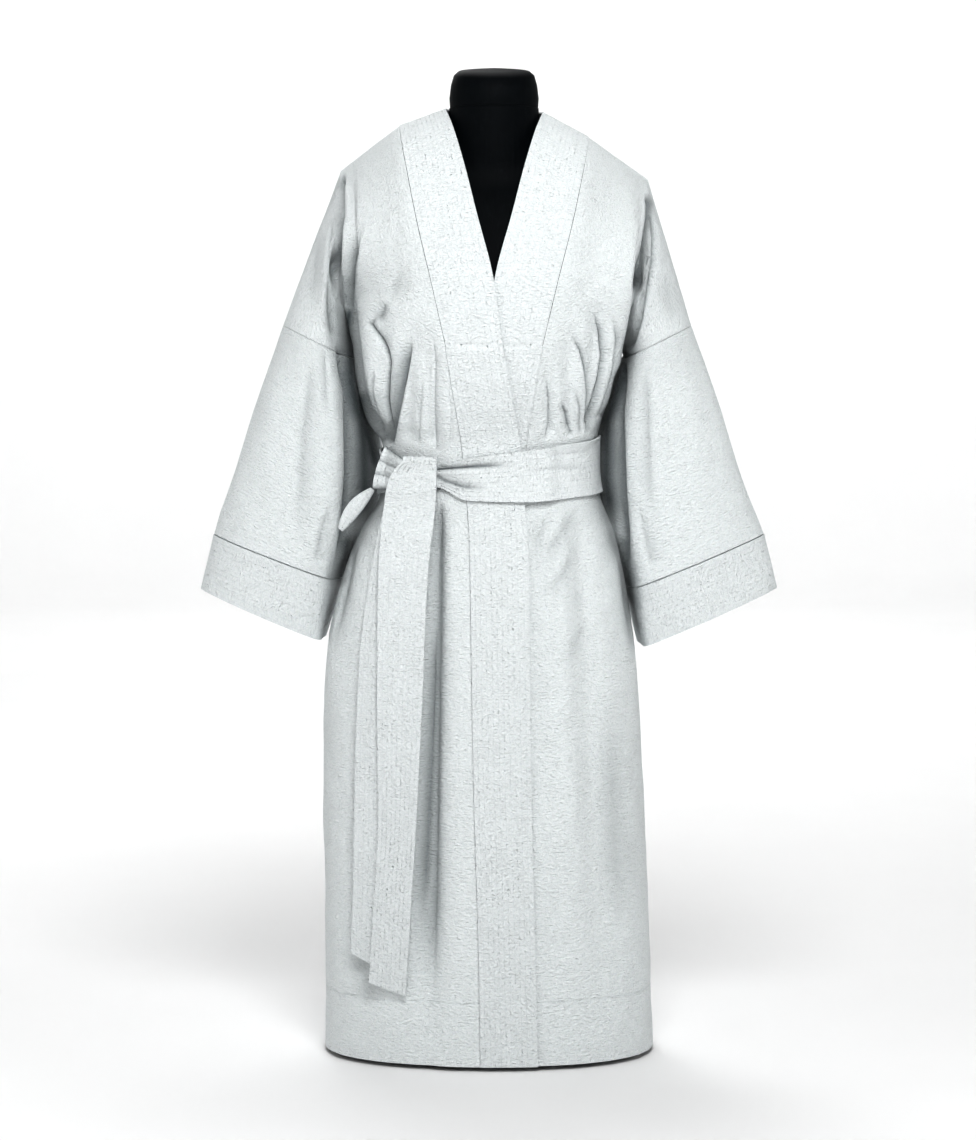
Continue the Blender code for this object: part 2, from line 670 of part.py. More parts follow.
def make_front(side, word, material):
    """One front: rows from hem to shoulder, columns from the band to the sleeve."""
    rows, columns = len(BODY_ROWS) + UPPER_ROWS, FRONT_COLUMNS + 1 + ARM_COLUMNS
    grid = np.full((rows, columns, 3), np.nan)
    across = np.zeros((rows, 3))
    for i, z in enumerate(BODY_ROWS):
        ring = Ring(z)
        share = np.linspace(seam_share(ring, side), 1, FRONT_COLUMNS + 1)
        grid[i, :FRONT_COLUMNS + 1] = ring.at_share(side * share)
        across[i] = grid[i, 1] - grid[i, 0]
    armpit = len(BODY_ROWS) - 1
    up = np.linspace(0, 1, UPPER_ROWS + 1)
    seam, across[armpit:] = neck_seam(side, up)
    inner = seam + across[armpit:] * SEAM_GAP / 2
    inner[0] = grid[armpit, 0]
    outer, turn = armhole(side, grid[armpit, FRONT_COLUMNS], FRONT)
    shoulder = np.linspace(inner[-1], outer[-1], FRONT_COLUMNS + 1)
    patch = upper_patch(grid[armpit, :FRONT_COLUMNS + 1], shoulder, inner, outer, FRONT_REACH)
    grid[armpit:, :FRONT_COLUMNS + 1] = patch
    arm = range(FRONT_COLUMNS + 1, FRONT_COLUMNS + 1 + ARM_COLUMNS)
    for k, column in enumerate(arm, 1):
        grid[arm_row(side):, column] = arm_point(UPPER_ARM[side], side, k / ARM_COLUMNS, turn, FRONT)
    sides = ((side, FRONT_COLUMNS, arm),)
    grid = part_seams(grid, FRONT, sides)
    rims = panel_rims(grid, sides, [(np.s_[:, 0], across)])
    grid = folded(grid, FRONT, side)
    wall(f"front_{word}", grid, PANEL_WALL, material, overlap_lift(side, grid), outward=side, rims=rims)


def make_back(material):
    """The back: rows from hem to shoulder, columns from the right sleeve to the left one."""
    rows, columns = len(BODY_ROWS) + UPPER_ROWS, BACK_COLUMNS + 1 + 2 * ARM_COLUMNS
    grid = np.full((rows, columns, 3), np.nan)
    first, last = ARM_COLUMNS, ARM_COLUMNS + BACK_COLUMNS
    share = np.linspace(-1, 1, BACK_COLUMNS + 1)
    turned = np.where(share <= 0, -2 - share, 2 - share)
    armpit = len(BODY_ROWS) - 1
    for i, z in enumerate(BODY_ROWS):
        grid[i, first:last + 1] = Ring(z).at_share(turned)
    up = np.linspace(0, 1, UPPER_ROWS + 1)
    edges, turns = {}, {}
    for side, column in ((RIGHT, first), (LEFT, last)):
        edges[side], turns[side] = armhole(side, grid[armpit, column], BACK)
    tops, acrosses = [], []
    for side in (RIGHT, LEFT):
        seam, across = neck_seam(side, np.linspace(1, 2, NECK_COLUMNS + 1))
        neck_edge = seam + across * SEAM_GAP / 2
        shoulder = np.linspace(edges[side][-1], neck_edge[0], SHOULDER_COLUMNS + 1)[:-1]
        tops.append(np.vstack([shoulder, neck_edge]))
        acrosses.append(across)
    top = np.vstack([tops[0], tops[1][::-1][1:]])
    across = np.vstack([acrosses[0], acrosses[1][::-1][1:]])
    patch = upper_patch(grid[armpit, first:last + 1], top, edges[RIGHT], edges[LEFT], BACK_REACH)
    blades = BLADE_DEPTH * np.sin(math.pi * up)[:, None] * (1 - share[None, :] ** 2)
    patch[..., 1] += blades
    grid[armpit:, first:last + 1] = patch
    arms = {RIGHT: range(first - 1, -1, -1), LEFT: range(last + 1, columns)}
    for side, arm in arms.items():
        for k, column in enumerate(arm, 1):
            share = k / ARM_COLUMNS
            grid[arm_row(side):, column] = arm_point(UPPER_ARM[side], side, share, turns[side], BACK)
    sides = ((RIGHT, first, arms[RIGHT]), (LEFT, last, arms[LEFT]))
    grid = part_seams(grid, BACK, sides)
    neck = np.arange(first + SHOULDER_COLUMNS, last - SHOULDER_COLUMNS + 1)
    rims = panel_rims(grid, sides, [((-1, neck), across)])
    wall("back", folded(grid, BACK, -1), PANEL_WALL, material, outward=-1, rims=rims)


def make_band(side, word, material):
    """Half the band: rows from the hem to the back of the neck."""
    rows, acrosses = [], []
    share = np.linspace(0, 1, BAND_COLUMNS + 1)
    for z in BODY_ROWS[:-1]:
        ring = Ring(z)
        free = -smooth(BAND[:, 0], BAND[:, 1], z) * UNDERLAP[side]
        seam = smooth(BAND[:, 0], BAND[:, 2], z) - SEAM_GAP / 2
        rows.append(ring.at_share(ring.share_of(side * (free + (seam - free) * share))))
        acrosses.append(rows[-1][-1] - rows[-1][-2])
    up, round_neck = np.linspace(0, 1, UPPER_ROWS + 1), np.linspace(1, 2, NECK_COLUMNS + 1)
    for place in np.concatenate([up, round_neck[1:]]):
        seam, across = neck_seam(side, place)
        free = neck_curve(side, (0, 1, 2), place)
        rows.append(free + (seam - across * SEAM_GAP / 2 - free) * share[:, None])
        acrosses.append(across)
    grid = np.array(rows)
    grid[-1, :, 0] = side * SEAM_GAP / 2
    grid = folded(grid, FRONT, side)
    rims = [
        (np.s_[0, :], np.array((0.0, 0.0, 1.0))),
        (np.s_[:, -1], np.array(acrosses)),
        (np.s_[-1, :], np.array((1.0, 0.0, 0.0))),
    ]
    wall(f"band_{word}", grid, QUILTED_WALL, material, overlap_lift(side, grid), outward=side, rims=rims)


def make_tube(name, table, side, rows, thickness, gap, material):
    """A sleeve or a cuff: a row for each ring, columns once round it."""
    grid = []
    for share in np.linspace(gap / np.linalg.norm(table[-1, 1:3] - table[0, 1:3]), 1, rows + 1):
        turn = np.linspace(0, 2, SLEEVE_SIDES + 1)[:-1]
        face = np.where(turn <= 1, FRONT, BACK)
        grid.append(arm_point(table, side, share, np.where(turn <= 1, turn, 2 - turn), face))
    rims = []
    for row in (0, -1):
        outer_x, outer_z, inner_x, inner_z = table[row, 1:5]
        rims.append((np.s_[row, :], np.array((side * (outer_z - inner_z), 0.0, -(outer_x - inner_x)))))
    wall(name, np.array(grid), thickness, material, closed=True, outward=side, rims=rims)


def surface_at(x, z):
    """The base surface of the front at a given x and height."""
    ring = Ring(z)
    front = np.abs(ring.share) <= 1
    return np.array([x, np.interp(x, ring.points[front, 0], ring.points[front, 1]), z])


def belt_lift(points):
    """Height of the belt's inside over the base surface: more where the fronts overlap."""
    x, y = points[..., 0], points[..., 1]
    over = ease(*BELT_RISE_RIGHT, x) * ease(*BELT_RISE_LEFT, x) * (y < 0)
    single = PANEL_WALL + BELT_GAP
    double = 2 * QUILTED_WALL + LAYER_GAP + BELT_GAP
    return single + (double - single) * over


def make_belt_waist(material):
    """The belt round the waist, which stands clear of the robe's wall."""
    shares = np.linspace(-2, 2, BELT_COLUMNS + 1)[:-1]
    grid = np.zeros((BELT_ROWS, BELT_COLUMNS, 3))
    for j, share in enumerate(shares):
        top = smooth(BELT[:, 0], BELT[:, 1], share)
        bottom = smooth(BELT[:, 0], BELT[:, 2], share)
        for i, z in enumerate(np.linspace(bottom, top, BELT_ROWS)):
            grid[i, j] = Ring(z).at_share(share)
    lift = belt_lift(grid)
    wall("belt_waist", grid, QUILTED_WALL, material, np.hstack([lift, lift[:, :1]]), closed=True)


def skirt_front(x, z):
    """How far forward the cloth on the skirt's right side reaches, folds included, as a y."""
    point = surface_at(x, z)
    out = fold_height(point, FRONT) + overlap_lift(RIGHT, point) + PANEL_WALL
    top = np.interp(ring_share(point), BELT[:, 0], BELT[:, 1])
    bottom = np.interp(ring_share(point), BELT[:, 0], BELT[:, 2])
    if bottom - BELT_MARGIN < z < top + BELT_MARGIN:
        out = max(out, belt_lift(point) + QUILTED_WALL)
    ahead = surface_at(x + 0.002, z)[1] - point[1]
    return point[1] - out * math.hypot(1, ahead / 0.002)


def ring_share(point):
    """Where a point of the front surface lies round its ring."""
    ring = Ring(point[2])
    front = np.abs(ring.share) <= 1
    return np.interp(point[0], ring.points[front, 0], ring.share[front])


def tail_plane(table, tilt, under):
    """Heights of a tail and the y of its right edge at each, resting on the foremost cloth."""
    heights = np.linspace(table[0, 0], table[-1, 0], TAIL_STEPS)
    rest = []
    for z in heights:
        left, right = (smooth(-table[:, 0], table[:, k], -z) for k in (1, 2))
        samples = np.linspace(left, right, TAIL_SAMPLES)
        rest.append(min(under(x, z) - (right - x) * tilt for x in samples) - TAIL_GAP)
    reach = range(len(rest))
    lowest = [min(rest[max(0, i - TAIL_DRAPE):i + TAIL_DRAPE + 1]) for i in reach]
    even = [np.mean(lowest[max(0, i - TAIL_DRAPE):i + TAIL_DRAPE + 1]) for i in reach]
    return heights, np.array(even)


def tail_y(table, tilt, plane, x, z):
    """The y of a tail's inner face."""
    right = smooth(-table[:, 0], table[:, 2], -z)
    return np.interp(-z, -plane[0], plane[1]) + (right - x) * tilt


def make_tail(name, table, tilt, slant, turn, plane, material):
    """A belt tail, a straight strip that hangs in front of the skirt."""
    rows = TAIL_ROWS
    grid = []
    tip = table[-1, 0]
    for z in np.linspace(table[0, 0], tip, rows):
        left, right = (smooth(-table[:, 0], table[:, k], -z) for k in (1, 2))
        row = []
        for share in np.linspace(0, 1, TAIL_COLUMNS + 1):
            x = left + (right - left) * share
            height = z + slant * (0.5 - share) * ease(tip + TAIL_SLANT_REACH, tip, z)
            row.append((x, tail_y(table, tilt, plane, x, z), height))
        grid.append(row)
    for back, height in turn:
        top = np.array(grid[turn.index((back, height))])
        top[:, 1] = np.array(grid[-rows])[:, 1] + back
        top[:, 2] = table[0, 0] + height
        grid.insert(0, top)
    wall(name, np.array(grid), TAIL_WALL, material, outward=-1)


def make_tails(material):
    """Both hanging ends of the belt. The front one lies over the back one and the knot."""
    back_plane = tail_plane(BACK_TAIL, BACK_TAIL_TILT, skirt_front)

    def under_front(x, z):
        y = skirt_front(x, z)
        if BACK_TAIL[-1, 0] - BACK_TAIL_SLANT < z < BACK_TAIL[0, 0] + BELT_MARGIN:
            y = min(y, tail_y(BACK_TAIL, BACK_TAIL_TILT, back_plane, x, z) - TAIL_WALL * 1.1)
        if x < KNOT[:, 1].max() + KNOT_MARGIN and KNOT[-1, 2] - KNOT_MARGIN < z:
            y = min(y, knot_y(x, z) - KNOT_PLEAT_DEPTH - TAIL_WALL)
        return y

    heights, rest = tail_plane(FRONT_TAIL, FRONT_TAIL_TILT, under_front)
    front_plane = heights, rest + FRONT_TAIL_SEAT
    make_tail("belt_tail_back", BACK_TAIL, BACK_TAIL_TILT, BACK_TAIL_SLANT, (), back_plane, material)
    turn = FRONT_TAIL_TURN
    make_tail("belt_tail_front", FRONT_TAIL, FRONT_TAIL_TILT, FRONT_TAIL_SLANT, turn, front_plane, material)


def knot_y(x, z):
    """The y of the knot's inner face, which rests on the belt and turns with it round the side."""
    near = max(x, KNOT_CORNER_X)
    rest = min(skirt_front(near, z), skirt_front(near, KNOT_LEVEL))
    stand = KNOT_STAND * ease(KNOT_CORNER_X, KNOT[:, 1].max(), x)
    return rest - KNOT_GAP - stand + (near - x) * KNOT_WRAP


def make_knot(material):
    """The knot's side: the strap's gathered turns, seen left of the tail that comes over them."""
    grid = []
    for across in np.linspace(0, 1, KNOT_COLUMNS + 1):
        row = []
        for down in np.linspace(0, 1, KNOT_ROWS + 1):
            x, z, outer_x, outer_z = (smooth(KNOT[:, 0], KNOT[:, k], down) for k in range(1, 5))
            x, z = x + (outer_x - x) * across, z + (outer_z - z) * across
            pleat = KNOT_PLEAT_DEPTH * abs(math.sin(math.pi * KNOT_PLEATS * down)) ** KNOT_PLEAT_ROUND
            row.append((x, knot_y(x, z) - pleat, z))
        grid.append(row)
    wall("belt_knot", np.array(grid), TAIL_WALL, material, outward=-1)


def make_loose_end(material):
    """The loose end of the knot, a flattened fold of the belt that narrows to its tip."""
    rings = []
    top, tip = np.array(LOOSE_TOP), np.array(LOOSE_TIP)
    down = (tip - top) / np.linalg.norm(tip - top)
    across = np.cross((0.0, 1.0, 0.0), down)
    for share in np.linspace(0.0, 1.0, LOOSE_RINGS):
        swell = math.sin(math.pi * (LOOSE_START + share * (LOOSE_END - LOOSE_START))) ** 0.8
        size = LOOSE_TIP_SIZE + (1 - LOOSE_TIP_SIZE) * swell
        centre = top + (tip - top) * share + across * LOOSE_BOW * math.sin(math.pi * share)
        ring = []
        for angle in np.linspace(0, 2 * math.pi, LOOSE_SIDES + 1)[:-1]:
            wide = across * LOOSE_HALF_WIDTH * size * math.cos(angle)
            deep = np.array((0.0, 1.0, 0.0)) * LOOSE_HALF_DEPTH * size * math.sin(angle)
            ring.append(centre + wide + deep)
        rings.append(ring)
    loft("belt_end", rings, material)


def form_rings():
    """Dress form from its flat underside to the neck, as one smooth outline."""
    rings = []
    for z in (*FORM[:, 0], NECK_TOP_Z):
        half, front, back = (smooth(FORM[:, 0], FORM[:, k], z) for k in range(1, 4))
        neck = ease(*NECK_START, z)
        ring = []
        for angle in np.linspace(0, 2 * math.pi, FORM_SIDES + 1)[:-1]:
            cosine, sine = math.cos(angle), math.sin(angle)
            depth = back if sine > 0 else front
            body = 1 / math.hypot(cosine / half, sine / depth)
            stem = neck / math.hypot(cosine / NECK_HALF_WIDTH, sine / NECK_HALF_DEPTH)
            radius = (body**NECK_JOIN + stem**NECK_JOIN) ** (1 / NECK_JOIN)
            if z >= NECK_TOP_Z:
                radius = stem
            ring.append((radius * cosine, radius * sine + NECK_CENTRE_Y * neck, z))
        rings.append(np.array(ring))
    return rings


def cap_rings():
    """Neck cap: a rounded plug whose top leans forward."""
    rings = []
    for share, size in CAP_PROFILE:
        ring = []
        for angle in np.linspace(0, 2 * math.pi, FORM_SIDES + 1)[:-1]:
            x = NECK_HALF_WIDTH * size * math.cos(angle)
            y = NECK_HALF_DEPTH * size * math.sin(angle)
            z = CAP_HEIGHT * share + math.tan(CAP_LEAN) * y * share
            ring.append((x, y + NECK_CENTRE_Y, NECK_TOP_Z + SEAM_GAP + z))
        rings.append(np.array(ring))
    return rings


def turned(name, profile, material, sides):
    """A solid of revolution about the Z axis. profile rows are radius and height, going up."""
    rings = []
    for radius, z in profile:
        angles = np.linspace(0, 2 * math.pi, sides + 1)[:-1]
        rings.append(np.stack([radius * np.cos(angles), radius * np.sin(angles), np.full(sides, z)], axis=1))
    return loft(name, rings, material)


def make_robe(cloth, quilted):
    """Every sewn piece of the robe."""
    for side, word in ((RIGHT, "right"), (LEFT, "left")):
        make_front(side, word, cloth)
        make_band(side, word, quilted)
        make_tube(f"sleeve_{word}", SLEEVE[side], side, SLEEVE_ROWS, PANEL_WALL, SEAM_GAP, cloth)
        make_tube(f"cuff_{word}", CUFF[side], side, 2, QUILTED_WALL, SEAM_GAP, quilted)
    make_back(cloth)


def make_belt(quilted):
    """The belt round the waist, its knot and its hanging ends."""
    make_belt_waist(quilted)
    make_tails(quilted)
    make_knot(quilted)
    make_loose_end(quilted)


def make_form(covering, metal):
    """The limbless dress form on its low stand."""
    loft("dress_form", form_rings(), covering)
    loft("neck_cap", cap_rings(), covering)
    pole_top = FORM[0, 0] - SEAM_GAP
    turned("stand_pole", ((POLE_RADIUS, BASE_HEIGHT + SEAM_GAP), (POLE_RADIUS, pole_top)), metal, POLE_SIDES)
    rim, top = BASE_RADIUS - BASE_EDGE, BASE_HEIGHT - BASE_EDGE
    turned("stand_base", ((BASE_RADIUS, 0.0), (BASE_RADIUS, top), (rim, BASE_HEIGHT)), metal, BASE_SIDES)


def main():
    for old in list(bpy.data.objects):
        bpy.data.objects.remove(old)
    cloth = principled("washed_cotton", COTTON, 0.85)
    quilted = principled("stitched_cotton", STITCHED_COTTON, 0.85)
    make_robe(cloth, quilted)
    make_belt(quilted)
    make_form(principled("black_jersey", JERSEY, 0.7), principled("black_steel", STEEL, 0.4))


main()
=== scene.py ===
"""Kimono robe with its tied belt on a limbless dress form: the looks of the part, in Blender.

Units are metres. +Z is up and the front of the robe faces -Y, so the wearer's right is at -X.
Each cloth piece is a thin shell on its plain solid's form, with its creases placed one by one.
"""

import functools
import itertools
import math

import bpy
import numpy as np
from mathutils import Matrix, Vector


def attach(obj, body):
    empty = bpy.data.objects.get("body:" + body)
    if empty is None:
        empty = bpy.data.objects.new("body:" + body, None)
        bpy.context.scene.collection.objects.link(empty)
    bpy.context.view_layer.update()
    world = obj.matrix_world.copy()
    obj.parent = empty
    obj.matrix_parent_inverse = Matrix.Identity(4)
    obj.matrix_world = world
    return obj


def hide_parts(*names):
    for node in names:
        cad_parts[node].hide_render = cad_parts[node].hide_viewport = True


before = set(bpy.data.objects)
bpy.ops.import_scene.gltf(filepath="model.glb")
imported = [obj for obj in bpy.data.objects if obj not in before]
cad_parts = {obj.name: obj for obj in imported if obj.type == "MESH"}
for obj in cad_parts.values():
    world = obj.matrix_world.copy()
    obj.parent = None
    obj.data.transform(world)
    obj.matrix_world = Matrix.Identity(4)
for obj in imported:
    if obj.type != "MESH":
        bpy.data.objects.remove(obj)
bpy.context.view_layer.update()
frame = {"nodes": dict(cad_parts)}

# Cloth thicknesses and clearances
PANEL_WALL = 0.0015
QUILTED_WALL = 0.0024
SEAM_GAP = 0.0005
LAYER_GAP = 0.0016

# Heights
HEM_Z = 0.006
ARMPIT_Z = 0.885
OVERLAP_TOP_Z = 1.000
OVERLAP_FADE = 0.050

RIGHT = -1
LEFT = 1

# Body rings: height, half width on the wearer's right and left, depth in front and behind
BODY = np.array((
    # z, right, left, front, back
    (0.006, 0.211, 0.198, 0.141, 0.143),
    (0.150, 0.212, 0.194, 0.138, 0.140),
    (0.300, 0.212, 0.188, 0.134, 0.136),
    (0.450, 0.211, 0.180, 0.128, 0.130),
    (0.520, 0.206, 0.174, 0.124, 0.126),
    (0.560, 0.198, 0.168, 0.120, 0.122),
    (0.617, 0.181, 0.157, 0.113, 0.114),
    (0.655, 0.165, 0.147, 0.106, 0.107),
    (0.695, 0.143, 0.132, 0.098, 0.097),
    (0.735, 0.136, 0.127, 0.095, 0.092),
    (0.765, 0.140, 0.127, 0.097, 0.093),
    (0.790, 0.157, 0.132, 0.104, 0.097),
    (0.815, 0.166, 0.140, 0.113, 0.101),
    (0.850, 0.172, 0.147, 0.122, 0.105),
    (0.885, 0.175, 0.150, 0.127, 0.107),
))
SQUARENESS = 2.3

# How far across the chest and the back the armholes' shape reaches, and the bulge of the shoulder blades
FRONT_REACH = 0.85
BACK_REACH = 0.42
BLADE_DEPTH = 0.010

# Folds beside each armpit, where the fronts blouse over the belt: how far each ring is moved
# out to the side. The ridge is the front's own edge, and the hollow lies between it and the side.
SIDE_FOLD_START = 0.35
SIDE_FOLDS = {
    RIGHT: np.array((
        # z, ridge, hollow
        (0.760, 0.000, 0.000),
        (0.790, 0.004, -0.012),
        (0.815, 0.005, -0.019),
        (0.850, 0.004, -0.022),
        (0.885, 0.003, -0.022),
    )),
    LEFT: np.array((
        (0.760, 0.000, 0.000),
        (0.790, 0.013, 0.000),
        (0.815, 0.018, 0.000),
        (0.850, 0.022, 0.000),
        (0.885, 0.023, 0.000),
    )),
}
RIDGE_Y = -0.068
RIDGE_SPREAD = 0.030
HOLLOW_Y = -0.030
HOLLOW_SPREAD = 0.017

# Front band below the armpits: height, free edge past the centre, seam short of the centre
BAND = np.array((
    (0.012, 0.053, 0.017),
    (0.178, 0.049, 0.020),
    (0.303, 0.046, 0.024),
    (0.447, 0.043, 0.027),
    (0.640, 0.040, 0.030),
    (0.692, 0.037, 0.033),
    (0.768, 0.031, 0.040),
    (0.835, 0.019, 0.051),
    (0.885, 0.011, 0.059),
))

# The under layer's free edge stops short of the upper one's
UNDERLAP = {RIGHT: 1.0, LEFT: 0.8}

# Where the upper front rises over the under one, and how far the belt rises over both, as x
OVERLAP_RISE = (-0.085, -0.050)
BELT_RISE_RIGHT = (-0.098, -0.072)
BELT_RISE_LEFT = (0.080, 0.062)

# Band above the armpits, from there over the shoulder to the back of the neck.
# "out" is the distance towards the band's own side.
NECK = np.array((
    # free edge out, y, z; seam out, y, z
    (0.0000, -0.1240, 0.963, 0.0760, -0.1200, 0.960),
    (0.0210, -0.0980, 1.045, 0.0950, -0.0980, 1.040),
    (0.0380, -0.0660, 1.112, 0.1070, -0.0680, 1.100),
    (0.0520, -0.0290, 1.158, 0.1150, -0.0300, 1.142),
    (0.0595, 0.0050, 1.177, 0.1170, 0.0050, 1.156),
    (0.0570, 0.0380, 1.179, 0.1020, 0.0520, 1.143),
    (0.0340, 0.0610, 1.180, 0.0570, 0.0840, 1.127),
    (0.0000, 0.0690, 1.180, 0.0000, 0.0960, 1.120),
))
SHOULDER_ROW = 5
SHOULDER_DROP = {RIGHT: 0.0, LEFT: 0.014}

# Arm rings: share of the way, outer and inner point seen from the front, depth in front and behind,
# bulge of the front, and how far the underarm is tucked in and back
UPPER_ARM = {
    RIGHT: np.array((
        # share, outer x, z, inner x, z, front, back, bulge, tuck in, tuck back
        (0.00, 0.189, 1.101, 0.187, 0.937, 0.066, 0.066, 0.000, 0.000, 0.000),
        (0.16, 0.199, 1.074, 0.191, 0.930, 0.046, 0.058, 0.000, 0.000, 0.001),
        (0.36, 0.213, 1.037, 0.194, 0.920, 0.060, 0.062, 0.000, 0.011, 0.028),
        (0.70, 0.240, 0.966, 0.197, 0.899, 0.066, 0.064, 0.000, 0.024, 0.050),
        (1.00, 0.261, 0.910, 0.199, 0.880, 0.066, 0.062, 0.000, 0.032, 0.058),
    )),
    LEFT: np.array((
        (0.00, 0.190, 1.090, 0.150, 0.885, 0.076, 0.070, 0.012, 0.000, 0.000),
        (0.16, 0.197, 1.065, 0.156, 0.881, 0.050, 0.060, 0.000, 0.000, 0.001),
        (0.36, 0.207, 1.030, 0.161, 0.879, 0.062, 0.066, 0.000, 0.001, 0.005),
        (0.70, 0.228, 0.963, 0.167, 0.877, 0.066, 0.066, 0.000, 0.004, 0.018),
        (1.00, 0.245, 0.910, 0.171, 0.874, 0.066, 0.062, 0.000, 0.014, 0.036),
    )),
}
SLEEVE = {
    RIGHT: np.array((
        (0.00, 0.261, 0.910, 0.199, 0.880, 0.066, 0.062, 0.000, 0.032, 0.058),
        (0.22, 0.281, 0.852, 0.189, 0.816, 0.066, 0.056, 0.000, 0.038, 0.062),
        (0.46, 0.303, 0.787, 0.187, 0.744, 0.064, 0.048, 0.000, 0.047, 0.064),
        (0.72, 0.325, 0.719, 0.191, 0.672, 0.060, 0.042, 0.000, 0.038, 0.067),
        (1.00, 0.349, 0.650, 0.207, 0.597, 0.054, 0.036, 0.000, 0.015, 0.066),
    )),
    LEFT: np.array((
        (0.00, 0.245, 0.910, 0.171, 0.874, 0.066, 0.062, 0.000, 0.014, 0.036),
        (0.22, 0.265, 0.852, 0.164, 0.812, 0.066, 0.056, 0.000, 0.036, 0.058),
        (0.46, 0.287, 0.787, 0.161, 0.742, 0.064, 0.048, 0.000, 0.041, 0.064),
        (0.72, 0.309, 0.719, 0.166, 0.668, 0.060, 0.042, 0.000, 0.031, 0.067),
        (1.00, 0.335, 0.650, 0.177, 0.586, 0.054, 0.036, 0.000, 0.010, 0.066),
    )),
}
CUFF = {
    RIGHT: np.array((
        (0.00, 0.349, 0.650, 0.207, 0.597, 0.054, 0.036, 0.000, 0.015, 0.066),
        (1.00, 0.366, 0.581, 0.219, 0.520, 0.050, 0.032, 0.000, 0.004, 0.066),
    )),
    LEFT: np.array((
        (0.00, 0.335, 0.650, 0.177, 0.586, 0.054, 0.036, 0.000, 0.010, 0.066),
        (1.00, 0.352, 0.582, 0.189, 0.512, 0.050, 0.032, 0.000, 0.004, 0.066),
    )),
}
# Rows above the ring region at which each arm begins, and the front edge of the underarm's turn
ARM_START = {RIGHT: 2, LEFT: 0}
UNDERARM_TURN = 0.78

# Largest folds: face, x and z where the fold starts and ends, half width there, height
FRONT = -1
BACK = 1
FOLDS = (
    # face, start x, start z, end x, end z, start width, end width, height
    (FRONT, -0.069, 0.700, -0.082, 0.030, 0.010, 0.021, -0.012),
    (FRONT, -0.104, 0.690, -0.122, 0.060, 0.010, 0.030, 0.007),
    (FRONT, -0.127, 0.690, -0.160, 0.200, 0.009, 0.024, -0.007),
    (FRONT, 0.052, 0.685, 0.048, 0.300, 0.007, 0.020, -0.004),
    (FRONT, 0.080, 0.690, 0.092, 0.200, 0.008, 0.026, 0.005),
    (FRONT, 0.105, 0.690, 0.135, 0.050, 0.009, 0.030, -0.006),
    (FRONT, -0.132, 0.766, -0.142, 0.910, 0.008, 0.014, -0.009),
    (FRONT, -0.108, 0.764, -0.100, 0.910, 0.008, 0.015, -0.008),
    (FRONT, -0.076, 0.762, -0.080, 0.905, 0.008, 0.013, -0.006),
    (FRONT, 0.070, 0.772, 0.066, 0.870, 0.007, 0.011, -0.005),
    (FRONT, 0.094, 0.774, 0.090, 0.900, 0.008, 0.013, -0.007),
    (FRONT, 0.117, 0.776, 0.130, 0.940, 0.008, 0.015, -0.008),
    (BACK, -0.104, 0.780, -0.112, 0.960, 0.010, 0.018, -0.008),
    (BACK, -0.052, 0.780, -0.050, 0.950, 0.010, 0.018, -0.007),
    (BACK, 0.004, 0.780, 0.002, 0.920, 0.010, 0.018, -0.005),
    (BACK, 0.050, 0.780, 0.054, 0.960, 0.010, 0.018, -0.008),
    (BACK, 0.100, 0.780, 0.108, 0.950, 0.010, 0.018, -0.007),
    (BACK, -0.104, 0.690, -0.140, 0.040, 0.012, 0.032, -0.011),
    (BACK, -0.055, 0.690, -0.075, 0.040, 0.012, 0.030, 0.007),
    (BACK, 0.004, 0.690, -0.006, 0.040, 0.012, 0.030, -0.010),
    (BACK, 0.060, 0.690, 0.070, 0.040, 0.012, 0.030, 0.008),
    (BACK, 0.100, 0.690, 0.132, 0.040, 0.012, 0.032, -0.010),
)

# A fold starts over this share of its length, and fades out towards the side seams, at y = 0
FOLD_START = 0.10
FOLD_CLEAR = 0.004
FOLD_FULL = 0.030

# Belt: share of the way round (0 front centre, 1 side seam, 2 back centre), top and bottom height
BELT = np.array((
    (-2.00, 0.768, 0.700),
    (-1.00, 0.756, 0.700),
    (-0.62, 0.740, 0.706),
    (-0.36, 0.739, 0.711),
    (-0.16, 0.748, 0.695),
    (0.20, 0.757, 0.693),
    (0.60, 0.767, 0.699),
    (1.00, 0.774, 0.703),
    (2.00, 0.768, 0.700),
))
BELT_GAP = 0.0018

# Belt tails: height, left and right edge seen from the front
FRONT_TAIL = np.array((
    (0.7445, -0.1110, -0.0700),
    (0.7300, -0.1240, -0.0700),
    (0.7150, -0.1300, -0.0702),
    (0.7000, -0.1330, -0.0706),
    (0.6200, -0.1400, -0.0790),
    (0.5900, -0.1410, -0.0810),
    (0.4500, -0.1420, -0.0870),
    (0.3100, -0.1410, -0.0940),
    (0.2000, -0.1470, -0.1010),
    (0.0990, -0.1530, -0.1080),
))
FRONT_TAIL_TILT = 0.30
FRONT_TAIL_SLANT = 0.014
FRONT_TAIL_SEAT = 0.0015
FRONT_TAIL_TURN = ((0.0012, 0.0020), (0.0036, 0.0028))
BACK_TAIL = np.array((
    (0.696, -0.1330, -0.0900),
    (0.620, -0.1480, -0.0960),
    (0.500, -0.1640, -0.1060),
    (0.350, -0.1700, -0.1090),
    (0.230, -0.1720, -0.1110),
    (0.125, -0.1750, -0.1150),
))
BACK_TAIL_TILT = 0.42
BACK_TAIL_SLANT = 0.030
TAIL_GAP = 0.0006
TAIL_STEPS = 90
TAIL_SAMPLES = 13
TAIL_DRAPE = 1
TAIL_SLANT_REACH = 0.150
BELT_MARGIN = 0.003
TAIL_WALL = 0.0024

